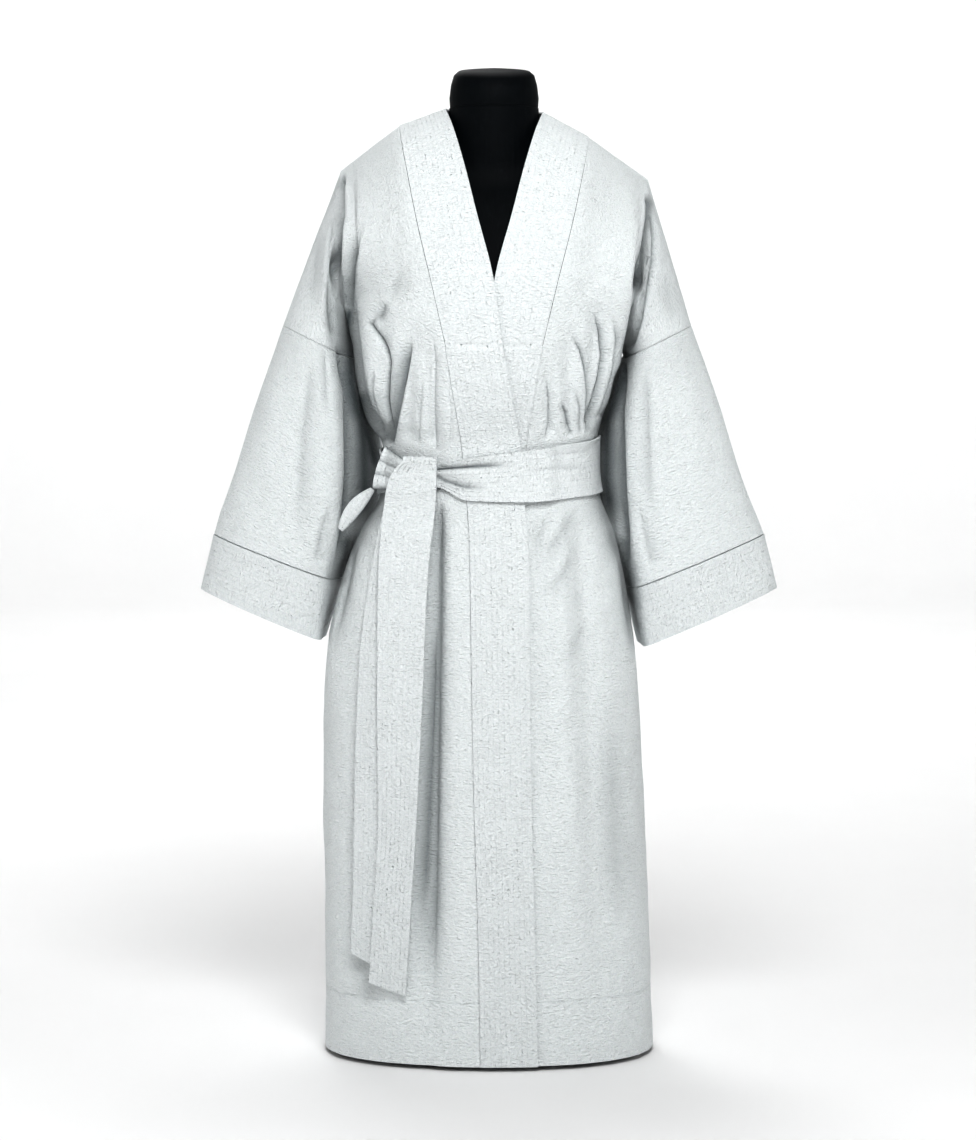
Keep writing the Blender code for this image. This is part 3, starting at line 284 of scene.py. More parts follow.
# Knot: share down, then x and z of its end under the tail and of its outer end
KNOT = np.array((
    # down, x, z, outer x, z
    (0.00, -0.1120, 0.7440, -0.1350, 0.7600),
    (0.33, -0.1140, 0.7330, -0.1420, 0.7430),
    (0.66, -0.1180, 0.7210, -0.1470, 0.7270),
    (1.00, -0.1200, 0.7090, -0.1500, 0.7100),
))
KNOT_GAP = 0.0005
KNOT_LEVEL = 0.725
KNOT_CORNER_X = -0.132
KNOT_WRAP = 0.2
KNOT_STAND = 0.0080
KNOT_PLEATS = 3
KNOT_PLEAT_DEPTH = 0.0062
KNOT_PLEAT_ROUND = 0.7
KNOT_MARGIN = 0.004

# Loose end of the knot, a flattened fold seen from the front
LOOSE_TOP = (-0.1500, -0.0500, 0.7080)
LOOSE_TIP = (-0.1900, -0.0560, 0.6580)
LOOSE_BOW = 0.003
LOOSE_HALF_WIDTH = 0.0095
LOOSE_HALF_DEPTH = 0.0040
LOOSE_TIP_SIZE = 0.10
LOOSE_START = 0.06
LOOSE_END = 0.92
LOOSE_RINGS = 9
LOOSE_SIDES = 12

# Dress form rings: height, half width, depth in front and behind
FORM = np.array((
    (0.500, 0.040, 0.040, 0.040),
    (0.502, 0.120, 0.078, 0.080),
    (0.530, 0.134, 0.088, 0.092),
    (0.600, 0.136, 0.090, 0.094),
    (0.660, 0.126, 0.084, 0.084),
    (0.735, 0.112, 0.078, 0.074),
    (0.820, 0.120, 0.092, 0.080),
    (0.900, 0.130, 0.108, 0.086),
    (0.960, 0.140, 0.106, 0.084),
    (1.010, 0.155, 0.096, 0.078),
    (1.050, 0.171, 0.080, 0.068),
    (1.075, 0.179, 0.068, 0.056),
    (1.0905, 0.1756, 0.0560, 0.0466),
    (1.1105, 0.1556, 0.0440, 0.0355),
    (1.131, 0.122, 0.031, 0.029),
    (1.149, 0.087, 0.023, 0.023),
    (1.163, 0.054, 0.018, 0.018),
    (1.176, 0.034, 0.014, 0.014),
))
NECK_HALF_WIDTH = 0.0555
NECK_HALF_DEPTH = 0.0540
NECK_CENTRE_Y = 0.006
NECK_TOP_Z = 1.179
CAP_HEIGHT = 0.047
CAP_LEAN = math.radians(11)
CAP_PROFILE = ((0.0, 0.985), (0.25, 1.0), (0.6, 0.965), (0.86, 0.90), (0.96, 0.80), (1.0, 0.45))


# How the form's neck grows out of its shoulders: the heights between which it starts, and how
# tightly the two shapes join
NECK_START = (1.02, 1.12)
NECK_JOIN = 8
FORM_INSET = 0.008


# Grid sizes
FINE_Z = 0.690
BODY_ROWS = (*np.linspace(HEM_Z, FINE_Z, 160)[:-1], *np.linspace(FINE_Z, ARMPIT_Z, 66))
UPPER_ROWS = 72
CORNER_REACH = 14
ARM_START = {RIGHT: 18, LEFT: 0}
FRONT_COLUMNS = 120
NECK_COLUMNS = 36
SHOULDER_COLUMNS = 28
BACK_COLUMNS = 2 * (NECK_COLUMNS + SHOULDER_COLUMNS)
BAND_COLUMNS = 24
ARM_COLUMNS = 32
SLEEVE_ROWS = 104
CUFF_ROWS = 26
SLEEVE_SIDES = 176
BELT_ROWS = 40
BELT_COLUMNS = 290
TAIL_ROWS = 220
TAIL_COLUMNS = 22
KNOT_ROWS = 60
KNOT_COLUMNS = 20
FORM_SIDES = 96
RING_STEPS = 1440
LOOSE_RINGS = 33
LOOSE_SIDES = 32
CUFF_GAP = 0.0012

# Sewing: yarns in a metre, distance between rows of stitches, length of a stitch, hem's depth
YARNS = 1400.0
STITCH_ROWS = 0.0063
STITCH_LENGTH = 0.0032
HEM_DEPTH = 0.078

# Relief of the finish, in metres
RUMPLE_RELIEF = 0.0024
WRINKLE_RELIEF = 0.0006
PUCKER_RELIEF = 0.0030
GRAIN_RELIEF = 0.0010
WEAVE_RELIEF = 0.00006
GROOVE_RELIEF = 0.0015
GATHER_RELIEF = 0.0018
THREAD_RELIEF = 0.0002

# Colours: the cloth's lit tone, and the darker tone painted as shade in the low parts of its crinkle relief and in its
# stitched and hem grooves, which also makes the tone uneven
COTTON = (0.833, 0.855, 0.857)
COTTON_PAINTED_SHADE = (0.62, 0.665, 0.675)
# Painted shade: the colour the cloth is darkened towards in deep creases, between pleats and between sleeve and body
PAINTED_CREASE_SHADE_COLOUR = (0.085, 0.105, 0.112)
QUILTED = (0.823, 0.845, 0.847)
QUILTED_PAINTED_SHADE = (0.62, 0.66, 0.672)

# Floor and the wall round it
BACKDROP_START = 7.5
BACKDROP_CURVE = 1.5
BACKDROP_HEIGHT = 6.0
BACKDROP_SIDES = 64
WALL_LAMP_PLACE = (4.4, 4.4, 5.0)
WALL_LAMP_TARGET = (9.3, 9.3, 0.9)
WALL_LAMP_POWER = 200.0

# Lamps: name, place, target, size, power
LAMPS = (
    ("key", (0.16, -2.1, 2.4), (0.0, 0.0, 0.8), 1.0, 55.0),
    ("fill", (-2.4, -2.4, 1.6), (0.0, 0.0, 0.6), 2.0, 4.0),
    ("rim", (0.0, 1.2, 3.4), (0.0, 0.0, 0.9), 2.0, 20.0),
    ("back", (-0.9, 3.0, 2.6), (0.0, 0.0, 0.8), 1.6, 30.0),
    ("floor_lamp", (0.0, 2.6, 5.2), (0.0, 3.4, 0.0), 2.0, 40.0),
)
ROOM_COLOUR = (0.97, 1.0, 1.0)
ROOM_STRENGTH = 0.08

# Noise layers of the cloth's crumpling: size, height
CRUMPLE = ((0.070, 0.0014), (0.030, 0.0006), (0.013, 0.0003))
CALM_Z = 1.08
CREASE_POWER = 1.35
# Painted shade in creases: the crease depth at which it is full, how dark it gets, and the belt's full depth
PAINTED_CREASE_SHADE_DEPTH = 0.0075
PAINTED_CREASE_SHADE_STRENGTH = 0.70
BELT_PAINTED_SHADE_DEPTH = 0.0040
BELT_REACH = 0.150

# Pieces whose rows of stitches go round them
ROWS_ROUND = ("cuff", "belt_waist", "belt_knot")

# Creases: face, points as x and z, half width, height, lean (one flank steeper), fade at start and end
CREASES = (
    # shoulder and upper sleeve, wearer's right
    (FRONT, ((-0.184, 1.098), (-0.187, 1.080), (-0.185, 1.045), (-0.188, 1.030), (-0.194, 0.982), (-0.196, 0.940)),
     0.0040, -0.0120, -0.30, 0.06, 0.30),
    (FRONT, ((-0.197, 1.050), (-0.202, 1.003), (-0.201, 0.930), (-0.196, 0.888)), 0.0034, -0.0050, -0.30, 0.30, 0.10),
    (FRONT, ((-0.190, 1.060), (-0.194, 1.020), (-0.198, 0.975)), 0.0026, -0.0040, 0.20, 0.30, 0.30),
    (FRONT, ((-0.214, 1.040), (-0.222, 0.980), (-0.226, 0.920)), 0.0090, -0.0024, 0.50, 0.40, 0.40),
    (FRONT, ((-0.156, 1.040), (-0.165, 1.013), (-0.170, 0.982), (-0.174, 0.945), (-0.175, 0.900)),
     0.0052, -0.0070, -0.70, 0.40, 0.10),
    # blouse, wearer's right
    (FRONT, ((-0.139, 0.928), (-0.154, 0.911), (-0.142, 0.892), (-0.132, 0.865), (-0.138, 0.818), (-0.133, 0.773)),
     0.0038, -0.0080, 0.35, 0.16, 0.02),
    (FRONT, ((-0.132, 0.940), (-0.138, 0.926), (-0.146, 0.913)), 0.0060, -0.0060, 0.10, 0.40, 0.30),
    (FRONT, ((-0.100, 0.901), (-0.109, 0.849), (-0.121, 0.788), (-0.127, 0.762)), 0.0075, -0.0095, -0.78, 0.30, 0.02),
    (FRONT, ((-0.118, 0.850), (-0.124, 0.810), (-0.131, 0.765)), 0.0030, -0.0048, -0.30, 0.45, 0.02),
    (FRONT, ((-0.075, 0.904), (-0.071, 0.866), (-0.073, 0.818), (-0.071, 0.757)), 0.0028, -0.0042, 0.50, 0.30, 0.02),
    (FRONT, ((-0.086, 0.860), (-0.089, 0.815), (-0.092, 0.765)), 0.0030, -0.0030, -0.50, 0.45, 0.02),
    (FRONT, ((-0.150, 0.865), (-0.152, 0.825), (-0.140, 0.775)), 0.0030, -0.0050, -0.40, 0.35, 0.02),
    (FRONT, ((-0.110, 0.985), (-0.122, 0.955), (-0.126, 0.930)), 0.0090, -0.0026, 0.60, 0.50, 0.50),
    (FRONT, ((-0.055, 0.845), (-0.053, 0.805), (-0.054, 0.765)), 0.0026, -0.0020, 0.40, 0.45, 0.05),
    # blouse, wearer's left
    (FRONT, ((0.120, 0.930), (0.131, 0.901), (0.134, 0.873), (0.130, 0.843), (0.122, 0.804), (0.114, 0.777)),
     0.0036, -0.0075, 0.55, 0.22, 0.02),
    (FRONT, ((0.091, 0.904), (0.105, 0.879), (0.112, 0.853), (0.117, 0.822), (0.115, 0.785)),
     0.0034, -0.0065, 0.55, 0.25, 0.02),
    (FRONT, ((0.062, 0.853), (0.067, 0.818), (0.067, 0.788), (0.062, 0.772)), 0.0026, -0.0036, 0.50, 0.35, 0.02),
    (FRONT, ((0.080, 0.818), (0.091, 0.800), (0.097, 0.776)), 0.0030, -0.0062, -0.50, 0.35, 0.02),
    (FRONT, ((0.142, 0.930), (0.150, 0.890), (0.146, 0.850), (0.130, 0.795)), 0.0042, -0.0055, 0.60, 0.35, 0.02),
    (FRONT, ((0.100, 0.835), (0.107, 0.808), (0.107, 0.778)), 0.0026, -0.0045, -0.30, 0.40, 0.02),
    (FRONT, ((0.124, 0.800), (0.119, 0.785), (0.116, 0.776)), 0.0022, -0.0030, 0.30, 0.30, 0.02),
    # shoulder and upper sleeve, wearer's left
    (FRONT, ((0.186, 1.072), (0.190, 1.060), (0.189, 1.042), (0.182, 1.008), (0.176, 0.982), (0.172, 0.940)),
     0.0042, -0.0130, 0.30, 0.08, 0.20),
    (FRONT, ((0.190, 1.070), (0.198, 1.020), (0.197, 0.990), (0.189, 0.953), (0.180, 0.916), (0.166, 0.876)),
     0.0032, -0.0075, -0.40, 0.15, 0.06),
    (FRONT, ((0.190, 1.035), (0.190, 1.000), (0.183, 0.960), (0.174, 0.915)), 0.0024, -0.0045, 0.20, 0.30, 0.30),
    (FRONT, ((0.210, 0.990), (0.216, 0.940), (0.222, 0.900)), 0.0110, -0.0020, 0.20, 0.45, 0.45),
    # edges of the sleeves beside the body
    (FRONT, ((-0.195, 0.890), (-0.189, 0.850), (-0.183, 0.828), (-0.182, 0.725), (-0.189, 0.650), (-0.200, 0.604)),
     0.0105, -0.0120, 0.78, 0.12, 0.22),
    (FRONT, ((0.164, 0.872), (0.158, 0.800), (0.161, 0.700), (0.169, 0.600)), 0.0090, -0.0110, -0.75, 0.12, 0.20),
    # sleeves below the seams
    (FRONT, ((-0.208, 0.885), (-0.206, 0.815), (-0.202, 0.785)), 0.0060, -0.0030, -0.40, 0.20, 0.45),
    (FRONT, ((-0.222, 0.875), (-0.236, 0.780), (-0.240, 0.680), (-0.242, 0.620)), 0.0110, -0.0028, 0.50, 0.20, 0.40),
    (FRONT, ((-0.262, 0.870), (-0.276, 0.780), (-0.290, 0.690)), 0.0140, 0.0020, 0.00, 0.30, 0.45),
    (FRONT, ((-0.200, 0.700), (-0.213, 0.660), (-0.222, 0.615)), 0.0070, -0.0030, 0.50, 0.40, 0.15),
    (FRONT, ((0.186, 0.870), (0.190, 0.800), (0.192, 0.720), (0.200, 0.640)), 0.0090, -0.0030, -0.50, 0.20, 0.40),
    (FRONT, ((0.176, 0.700), (0.184, 0.660), (0.196, 0.610)), 0.0060, -0.0030, 0.50, 0.40, 0.15),
    (FRONT, ((0.230, 0.860), (0.246, 0.770), (0.262, 0.680)), 0.0160, 0.0020, 0.00, 0.35, 0.45),
    # skirt
    (FRONT, ((-0.064, 0.700), (-0.061, 0.660), (-0.062, 0.560), (-0.065, 0.420), (-0.069, 0.240), (-0.074, 0.080)),
     0.0130, -0.0062, -0.62, 0.05, 0.20),
    (FRONT, ((-0.070, 0.620), (-0.077, 0.440), (-0.086, 0.260), (-0.092, 0.130)), 0.0120, -0.0072, 0.10, 0.30, 0.25),
    (FRONT, ((-0.060, 0.560), (-0.070, 0.520), (-0.074, 0.490)), 0.0030, -0.0035, 0.30, 0.35, 0.35),
    (FRONT, ((-0.058, 0.420), (-0.070, 0.395), (-0.082, 0.380)), 0.0030, -0.0030, 0.30, 0.35, 0.35),
    (FRONT, ((-0.062, 0.330), (-0.074, 0.300), (-0.088, 0.290)), 0.0032, -0.0030, 0.30, 0.35, 0.35),
    (FRONT, ((-0.060, 0.640), (-0.064, 0.590), (-0.068, 0.555)), 0.0040, -0.0022, 0.30, 0.40, 0.40),
    (FRONT, ((-0.148, 0.712), (-0.160, 0.690), (-0.174, 0.640), (-0.188, 0.568), (-0.200, 0.490)),
     0.0050, -0.0060, 0.55, 0.08, 0.40),
    (FRONT, ((-0.152, 0.300), (-0.156, 0.180), (-0.160, 0.060)), 0.0120, -0.0030, 0.00, 0.40, 0.15),
    (FRONT, ((0.106, 0.692), (0.074, 0.648), (0.056, 0.612)), 0.0085, -0.0030, 0.40, 0.30, 0.45),
    (FRONT, ((0.098, 0.640), (0.078, 0.600), (0.056, 0.575)), 0.0080, -0.0026, 0.40, 0.40, 0.45),
    (FRONT, ((0.070, 0.690), (0.056, 0.655), (0.046, 0.625)), 0.0060, -0.0020, 0.40, 0.35, 0.45),
    (FRONT, ((0.120, 0.560), (0.096, 0.515), (0.074, 0.490)), 0.0110, -0.0018, 0.30, 0.45, 0.45),
    (FRONT, ((0.132, 0.700), (0.148, 0.680), (0.158, 0.650), (0.166, 0.590), (0.174, 0.480)),
     0.0050, -0.0065, -0.50, 0.06, 0.45),
    (FRONT, ((0.140, 0.480), (0.148, 0.330), (0.156, 0.150)), 0.0180, -0.0030, 0.00, 0.40, 0.30),
    (FRONT, ((0.095, 0.420), (0.100, 0.280), (0.104, 0.080)), 0.0220, 0.0022, 0.00, 0.40, 0.25),
    # back, above the belt
    (BACK, ((-0.128, 0.925), (-0.112, 0.850), (-0.100, 0.782)), 0.0060, -0.0060, 0.50, 0.40, 0.02),
    (BACK, ((-0.086, 0.850), (-0.080, 0.820), (-0.078, 0.782)), 0.0036, -0.0045, -0.40, 0.40, 0.02),
    (BACK, ((-0.058, 0.905), (-0.050, 0.850), (-0.054, 0.782)), 0.0046, -0.0045, 0.50, 0.40, 0.02),
    (BACK, ((-0.014, 0.835), (-0.018, 0.810), (-0.016, 0.782)), 0.0034, -0.0040, 0.30, 0.40, 0.02),
    (BACK, ((0.020, 0.915), (0.036, 0.850), (0.030, 0.782)), 0.0050, -0.0040, -0.50, 0.40, 0.02),
    (BACK, ((0.064, 0.845), (0.058, 0.815), (0.056, 0.782)), 0.0034, -0.0046, 0.40, 0.40, 0.02),
    (BACK, ((0.098, 0.900), (0.088, 0.840), (0.086, 0.782)), 0.0056, -0.0058, 0.50, 0.40, 0.02),
    (BACK, ((0.134, 0.930), (0.124, 0.860), (0.108, 0.784)), 0.0046, -0.0058, -0.50, 0.40, 0.02),
    # back of the shoulders and sleeves
    (BACK, ((-0.180, 1.075), (-0.182, 1.020), (-0.184, 0.960), (-0.186, 0.910)), 0.0070, -0.0070, 0.30, 0.20, 0.25),
    (BACK, ((0.178, 1.065), (0.180, 1.010), (0.176, 0.950), (0.172, 0.900)), 0.0070, -0.0070, -0.30, 0.20, 0.25),
    (BACK, ((-0.232, 0.860), (-0.246, 0.780), (-0.262, 0.690)), 0.0140, -0.0028, 0.30, 0.30, 0.40),
    (BACK, ((0.220, 0.860), (0.236, 0.780), (0.252, 0.690)), 0.0140, -0.0028, -0.30, 0.30, 0.40),
    (BACK, ((-0.060, 1.060), (-0.080, 1.010), (-0.110, 0.960)), 0.0150, -0.0022, 0.30, 0.45, 0.45),
    (BACK, ((0.062, 1.060), (0.086, 1.005), (0.112, 0.955)), 0.0150, -0.0022, -0.30, 0.45, 0.45),
    # back, below the belt
    (BACK, ((-0.092, 0.694), (-0.104, 0.600), (-0.116, 0.450)), 0.0070, -0.0055, 0.50, 0.03, 0.45),
    (BACK, ((-0.060, 0.694), (-0.060, 0.650), (-0.064, 0.590)), 0.0036, -0.0045, -0.40, 0.03, 0.45),
    (BACK, ((-0.022, 0.694), (-0.030, 0.580), (-0.034, 0.360)), 0.0070, -0.0050, 0.50, 0.03, 0.45),
    (BACK, ((0.022, 0.694), (0.026, 0.640), (0.024, 0.580)), 0.0036, -0.0042, 0.40, 0.03, 0.45),
    (BACK, ((0.056, 0.694), (0.064, 0.590), (0.068, 0.470)), 0.0060, -0.0048, -0.50, 0.03, 0.45),
    (BACK, ((0.098, 0.694), (0.110, 0.610), (0.126, 0.500)), 0.0060, -0.0055, -0.40, 0.03, 0.45),
)

# Painted shade between sleeve and body, drawn as creases that only darken the colour; height is how much
PAINTED_SHADE_LINES = (
    (FRONT, ((-0.178, 0.938), (-0.182, 0.900), (-0.179, 0.850), (-0.171, 0.805), (-0.156, 0.760), (-0.147, 0.715)),
     0.0110, -1.0, -0.10, 0.06, 0.12),
    (FRONT, ((-0.170, 0.840), (-0.164, 0.760), (-0.164, 0.700), (-0.175, 0.650)), 0.0180, -1.0, 0.20, 0.12, 0.20),
    (FRONT, ((-0.180, 0.660), (-0.192, 0.610), (-0.198, 0.580)), 0.0090, -0.8, 0.20, 0.30, 0.20),
    (FRONT, ((0.176, 0.905), (0.166, 0.872), (0.155, 0.835), (0.143, 0.790), (0.142, 0.720), (0.152, 0.640)),
     0.0120, -0.95, 0.00, 0.12, 0.20),
    (FRONT, ((0.160, 0.660), (0.170, 0.600), (0.176, 0.550)), 0.0080, -0.8, 0.00, 0.20, 0.20),
)
# The painted shade lines darken only points whose y is below this
PAINTED_SHADE_LINES_MAX_Y = 0.055
WAIST = 3
BELT_CREASES = (
    (WAIST, ((-0.069, 0.7330), (-0.058, 0.7345), (-0.030, 0.7370), (0.036, 0.7410)), 0.0032, -0.0042, 0.30, 0.02, 0.55),
    (WAIST, ((-0.069, 0.7405), (-0.058, 0.7375), (-0.048, 0.7368)), 0.0018, -0.0032, 0.00, 0.02, 0.40),
    (WAIST, ((-0.069, 0.7360), (-0.060, 0.7350), (-0.052, 0.7352)), 0.0014, -0.0024, 0.00, 0.02, 0.40),
    (WAIST, ((-0.069, 0.7250), (-0.058, 0.7190), (-0.036, 0.7120), (0.000, 0.7085)), 0.0040, -0.0034, 0.30, 0.02, 0.55),
    (WAIST, ((-0.069, 0.7440), (-0.040, 0.7480), (0.010, 0.7520)), 0.0034, 0.0014, 0.00, 0.10, 0.60),
    (WAIST, ((-0.069, 0.7290), (-0.050, 0.7270), (-0.010, 0.7280)), 0.0034, 0.0016, 0.00, 0.05, 0.60),
    (WAIST, ((0.020, 0.7300), (0.070, 0.7340), (0.120, 0.7360)), 0.0026, -0.0014, 0.30, 0.45, 0.30),
    (WAIST, ((0.040, 0.7500), (0.080, 0.7530), (0.125, 0.7540)), 0.0026, -0.0012, 0.30, 0.45, 0.20),
)


def smooth(knots, values, at):
    """Monotone cubic curve through a table's rows."""
    knots = np.asarray(knots, float)
    values = np.asarray(values, float)
    at = np.clip(np.asarray(at, float), knots[0], knots[-1])
    step = np.diff(knots)
    slope = np.diff(values) / step
    tangent = np.zeros(len(knots))
    tangent[0], tangent[-1] = slope[0], slope[-1]
    for k in range(1, len(knots) - 1):
        if slope[k - 1] * slope[k] > 0:
            tangent[k] = 2 / (1 / slope[k - 1] + 1 / slope[k])
    k = np.clip(np.searchsorted(knots, at, side="right") - 1, 0, len(step) - 1)
    t = (at - knots[k]) / step[k]
    return (
        (2 * t**3 - 3 * t**2 + 1) * values[k]
        + (t**3 - 2 * t**2 + t) * step[k] * tangent[k]
        + (3 * t**2 - 2 * t**3) * values[k + 1]
        + (t**3 - t**2) * step[k] * tangent[k + 1]
    )


def ease(low, high, value):
    """0 at low, 1 at high, with no corner at either end. low may be above high."""
    t = np.clip((np.asarray(value, float) - low) / (high - low), 0, 1)
    return t * t * (3 - 2 * t)


@functools.lru_cache(maxsize=None)
class Ring:
    """The body's base ring at one height, read by share round it or by length from the front."""

    def __init__(self, z):
        angle = np.linspace(-math.pi, math.pi, RING_STEPS + 1)
        side = np.where(angle < 0, smooth(BODY[:, 0], BODY[:, 1], z), smooth(BODY[:, 0], BODY[:, 2], z))
        front = smooth(BODY[:, 0], BODY[:, 3], z)
        back = smooth(BODY[:, 0], BODY[:, 4], z)
        power = 2 / SQUARENESS
        sine = np.abs(np.sin(angle)) ** power
        cosine = np.abs(np.cos(angle)) ** power
        y = np.where(np.abs(angle) < math.pi / 2, -front, back) * cosine
        reach = np.zeros_like(angle)
        for sign, table in SIDE_FOLDS.items():
            ridge, hollow = smooth(table[:, 0], table[:, 1], z), smooth(table[:, 0], table[:, 2], z)
            ridge = ridge * np.exp(-(((y - RIDGE_Y) / RIDGE_SPREAD) ** 2))
            hollow = hollow * np.exp(-(((y - HOLLOW_Y) / HOLLOW_SPREAD) ** 2))
            reach += np.where(sign * angle > 0, ridge + hollow, 0.0)
        reach = reach * ease(SIDE_FOLD_START, 1.0, sine) * ease(FOLD_CLEAR, HOLLOW_Y / 2, y)
        x = np.sign(angle) * (side * sine + reach)
        self.points = np.stack([x, y, np.full_like(x, z)], axis=1)
        lengths = np.linalg.norm(np.diff(self.points, axis=0), axis=1)
        run = np.concatenate([[0], np.cumsum(lengths)])
        half, quarter = RING_STEPS // 2, RING_STEPS // 4
        self.length = run - run[half]
        marks = [0, quarter, half, half + quarter, RING_STEPS]
        self.share = np.interp(self.length, self.length[marks], [-2, -1, 0, 1, 2])

    def at_share(self, share):
        return np.stack([np.interp(share, self.share, self.points[:, k]) for k in range(3)], axis=-1)

    def share_of(self, length):
        return np.interp(length, self.length, self.share)


def neck_curve(side, columns, share):
    """A point of the band's free edge (columns 0 to 2) or seam (3 to 5).

    share runs from 0 at the armpits to 1 at the shoulder and 2 at the back of the neck.
    """
    ring = Ring(ARMPIT_Z)
    own = -BAND[-1, 1] * UNDERLAP[side] if columns[0] == 0 else BAND[-1, 2]
    first = ring.at_share(ring.share_of(side * own))
    rows = np.vstack([[abs(first[0]) * np.sign(own), first[1], first[2]], NECK[:, list(columns)]])
    heights = (rows[:SHOULDER_ROW + 1, 2] - rows[0, 2]) / (rows[SHOULDER_ROW, 2] - rows[0, 2])
    knots = np.concatenate([heights, np.linspace(1, 2, len(rows) - SHOULDER_ROW)[1:]])
    point = np.stack([smooth(knots, rows[:, k], share) for k in range(3)], axis=-1)
    drop = SHOULDER_DROP[side] * ease(0.1, 1.0, share) * ease(2.0, 1.1, share)
    drop = drop * (1.0 if columns[0] == 3 else 0.3)
    point[..., 0] *= side
    point[..., 2] -= drop
    return point


def arm_point(table, side, share, turn, face):
    """A point of an arm ring. turn is 0 at the top of the sleeve and 1 at the underarm."""
    outer_x, outer_z, inner_x, inner_z, front, back, bulge, tuck_in, tuck_back = (
        smooth(table[:, 0], table[:, k], share) for k in range(1, 10)
    )
    roundness = 1.0 if table is not UPPER_ARM[side] else ease(0.1, 0.9, share)
    is_front = face == FRONT
    reached = np.where(is_front, np.minimum(turn / UNDERARM_TURN, 1), turn)
    circular = (1 - np.cos(math.pi * reached)) / 2
    down = turn + (circular - turn) * roundness
    swell = np.sin(math.pi * turn)
    tuck = np.where(is_front, ease(UNDERARM_TURN - 0.10, 1.02, turn), ease(-0.1, 1.1, turn))
    tuck = tuck / np.where(is_front, ease(UNDERARM_TURN - 0.10, 1.02, 1.0), ease(-0.1, 1.1, 1.0))
    tuck = tuck * (turn > 0)
    x = outer_x + (inner_x - outer_x) * down + np.where(is_front, bulge, bulge / 3) * swell - tuck_in * tuck
    slope = (outer_z - inner_z) / np.maximum(outer_x - inner_x, 0.03)
    z = outer_z + (inner_z - outer_z) * down - tuck_in * tuck * slope * roundness
    y = np.where(is_front, -front, back) * swell + tuck_back * tuck
    return np.stack(np.broadcast_arrays(side * x, y, z), axis=-1)


def fold_height(points, face):
    """How far the largest folds move each point out of the base surface."""
    x, z = points[..., 0], points[..., 2]
    total = np.zeros(x.shape)
    for fold_face, x0, z0, x1, z1, width0, width1, height in FOLDS:
        if fold_face != face:
            continue
        along = (z - z0) / (z1 - z0)
        middle = x0 + (x1 - x0) * along
        width = width0 + (width1 - width0) * np.clip(along, 0, 1)
        fade = ease(0.0, FOLD_START, along) * ease(1.12, 0.75, along)
        total += height * fade * np.exp(-(((x - middle) / width) ** 2))
    return total * ease(FOLD_CLEAR, FOLD_FULL, np.abs(points[..., 1]))


def grid_normals(points):
    """Unit normals of a grid of points; missing points are NaN."""
    padded = np.pad(points, ((1, 1), (1, 1), (0, 0)), mode="edge")
    rows, columns = points.shape[:2]
    sides = []
    for row, column in ((0, 1), (1, 0), (0, -1), (-1, 0)):
        sides.append(padded[1 + row:1 + row + rows, 1 + column:1 + column + columns] - points)
    total = np.zeros_like(points)
    for side, following in zip(sides, sides[1:] + sides[:1]):
        total += np.nan_to_num(np.cross(side, following))
    length = np.linalg.norm(total, axis=-1, keepdims=True)
    return total / np.maximum(length, 1e-12)


def squared(normals, rims):
    """Turns the normals at each rim square to a direction, so that two sewn edges stay parallel."""
    for rim, direction in rims:
        direction = direction / np.linalg.norm(direction, axis=-1, keepdims=True)
        turned = normals[rim] - (normals[rim] * direction).sum(axis=-1, keepdims=True) * direction
        normals[rim] = turned / np.maximum(np.linalg.norm(turned, axis=-1, keepdims=True), 1e-12)
    return normals


def overlap_lift(side, points):
    """The wearer's right front lies over the left one, so it stands a layer further out there."""
    if side == LEFT:
        return np.zeros(points.shape[:-1])
    layer = QUILTED_WALL + LAYER_GAP
    across = ease(*OVERLAP_RISE, points[..., 0])
    return layer * across * ease(OVERLAP_TOP_Z + OVERLAP_FADE, OVERLAP_TOP_Z, points[..., 2])


def seam_share(ring, side):
    """Where the front band is sewn to the front, as a share of the ring."""
    length = smooth(BAND[:, 0], BAND[:, 2], ring.points[0, 2]) + SEAM_GAP / 2
    return abs(ring.share_of(side * length))


def upper_patch(bottom, top, inner, outer, reach):
    """Points between four edge curves, bent towards each side edge over its reach."""
    rows, columns = len(inner), len(bottom)
    b = np.linspace(0, 1, rows)[:, None, None]
    a = np.linspace(0, 1, columns)[None, :, None]
    ruled = (1 - b) * bottom[None] + b * top[None]
    near_inner = ease(reach, 0, a) * (inner[:, None] - ruled[:, :1])
    near_outer = ease(1 - reach, 1, a) * (outer[:, None] - ruled[:, -1:])
    return ruled + near_inner + near_outer


def neck_seam(side, share):
    """The seam between the band and the panel beside it, and the direction across it."""
    free, seam = neck_curve(side, (0, 1, 2), share), neck_curve(side, (3, 4, 5), share)
    across = seam - free
    return seam, across / np.linalg.norm(across, axis=-1, keepdims=True)


def arm_row(side):
    """The grid row at which an arm begins, which is the armpit's."""
    return len(BODY_ROWS) - 1 + ARM_START[side]


def armhole(side, ring_side, face):
    """The edge beside the arm from the rings' top to the shoulder, and the turn of each of its rows."""
    start = ARM_START[side]
    turn = np.linspace(1, 0, UPPER_ROWS + 1 - start)
    edge = arm_point(UPPER_ARM[side], side, 0.0, turn, face)
    if start:
        below = np.linspace(ring_side, edge[0], start + 1)[:-1]
        return np.vstack([below, edge]), turn
    edge[0] = ring_side
    return edge, turn


def part_seams(grid, face, side_columns):
    """Moves the shoulder, side and underarm edges off the other face's edges."""
    shift = face * SEAM_GAP / 2
    grid[-1, :, 1] += shift
    for side, column, arm in side_columns:
        row = arm_row(side)
        grid[:row + 1, column, 1] += shift
        across = underarm_across(grid, row, arm)
        grid[row, list(arm)] += across / np.linalg.norm(across, axis=-1, keepdims=True) * SEAM_GAP
        grid[row, list(arm), 1] += shift
    return grid


def underarm_across(grid, row, arm):
    """Directions from the underarm seam into a panel, along its surface."""
    return grid[row + 1, list(arm)] - grid[row, list(arm)]


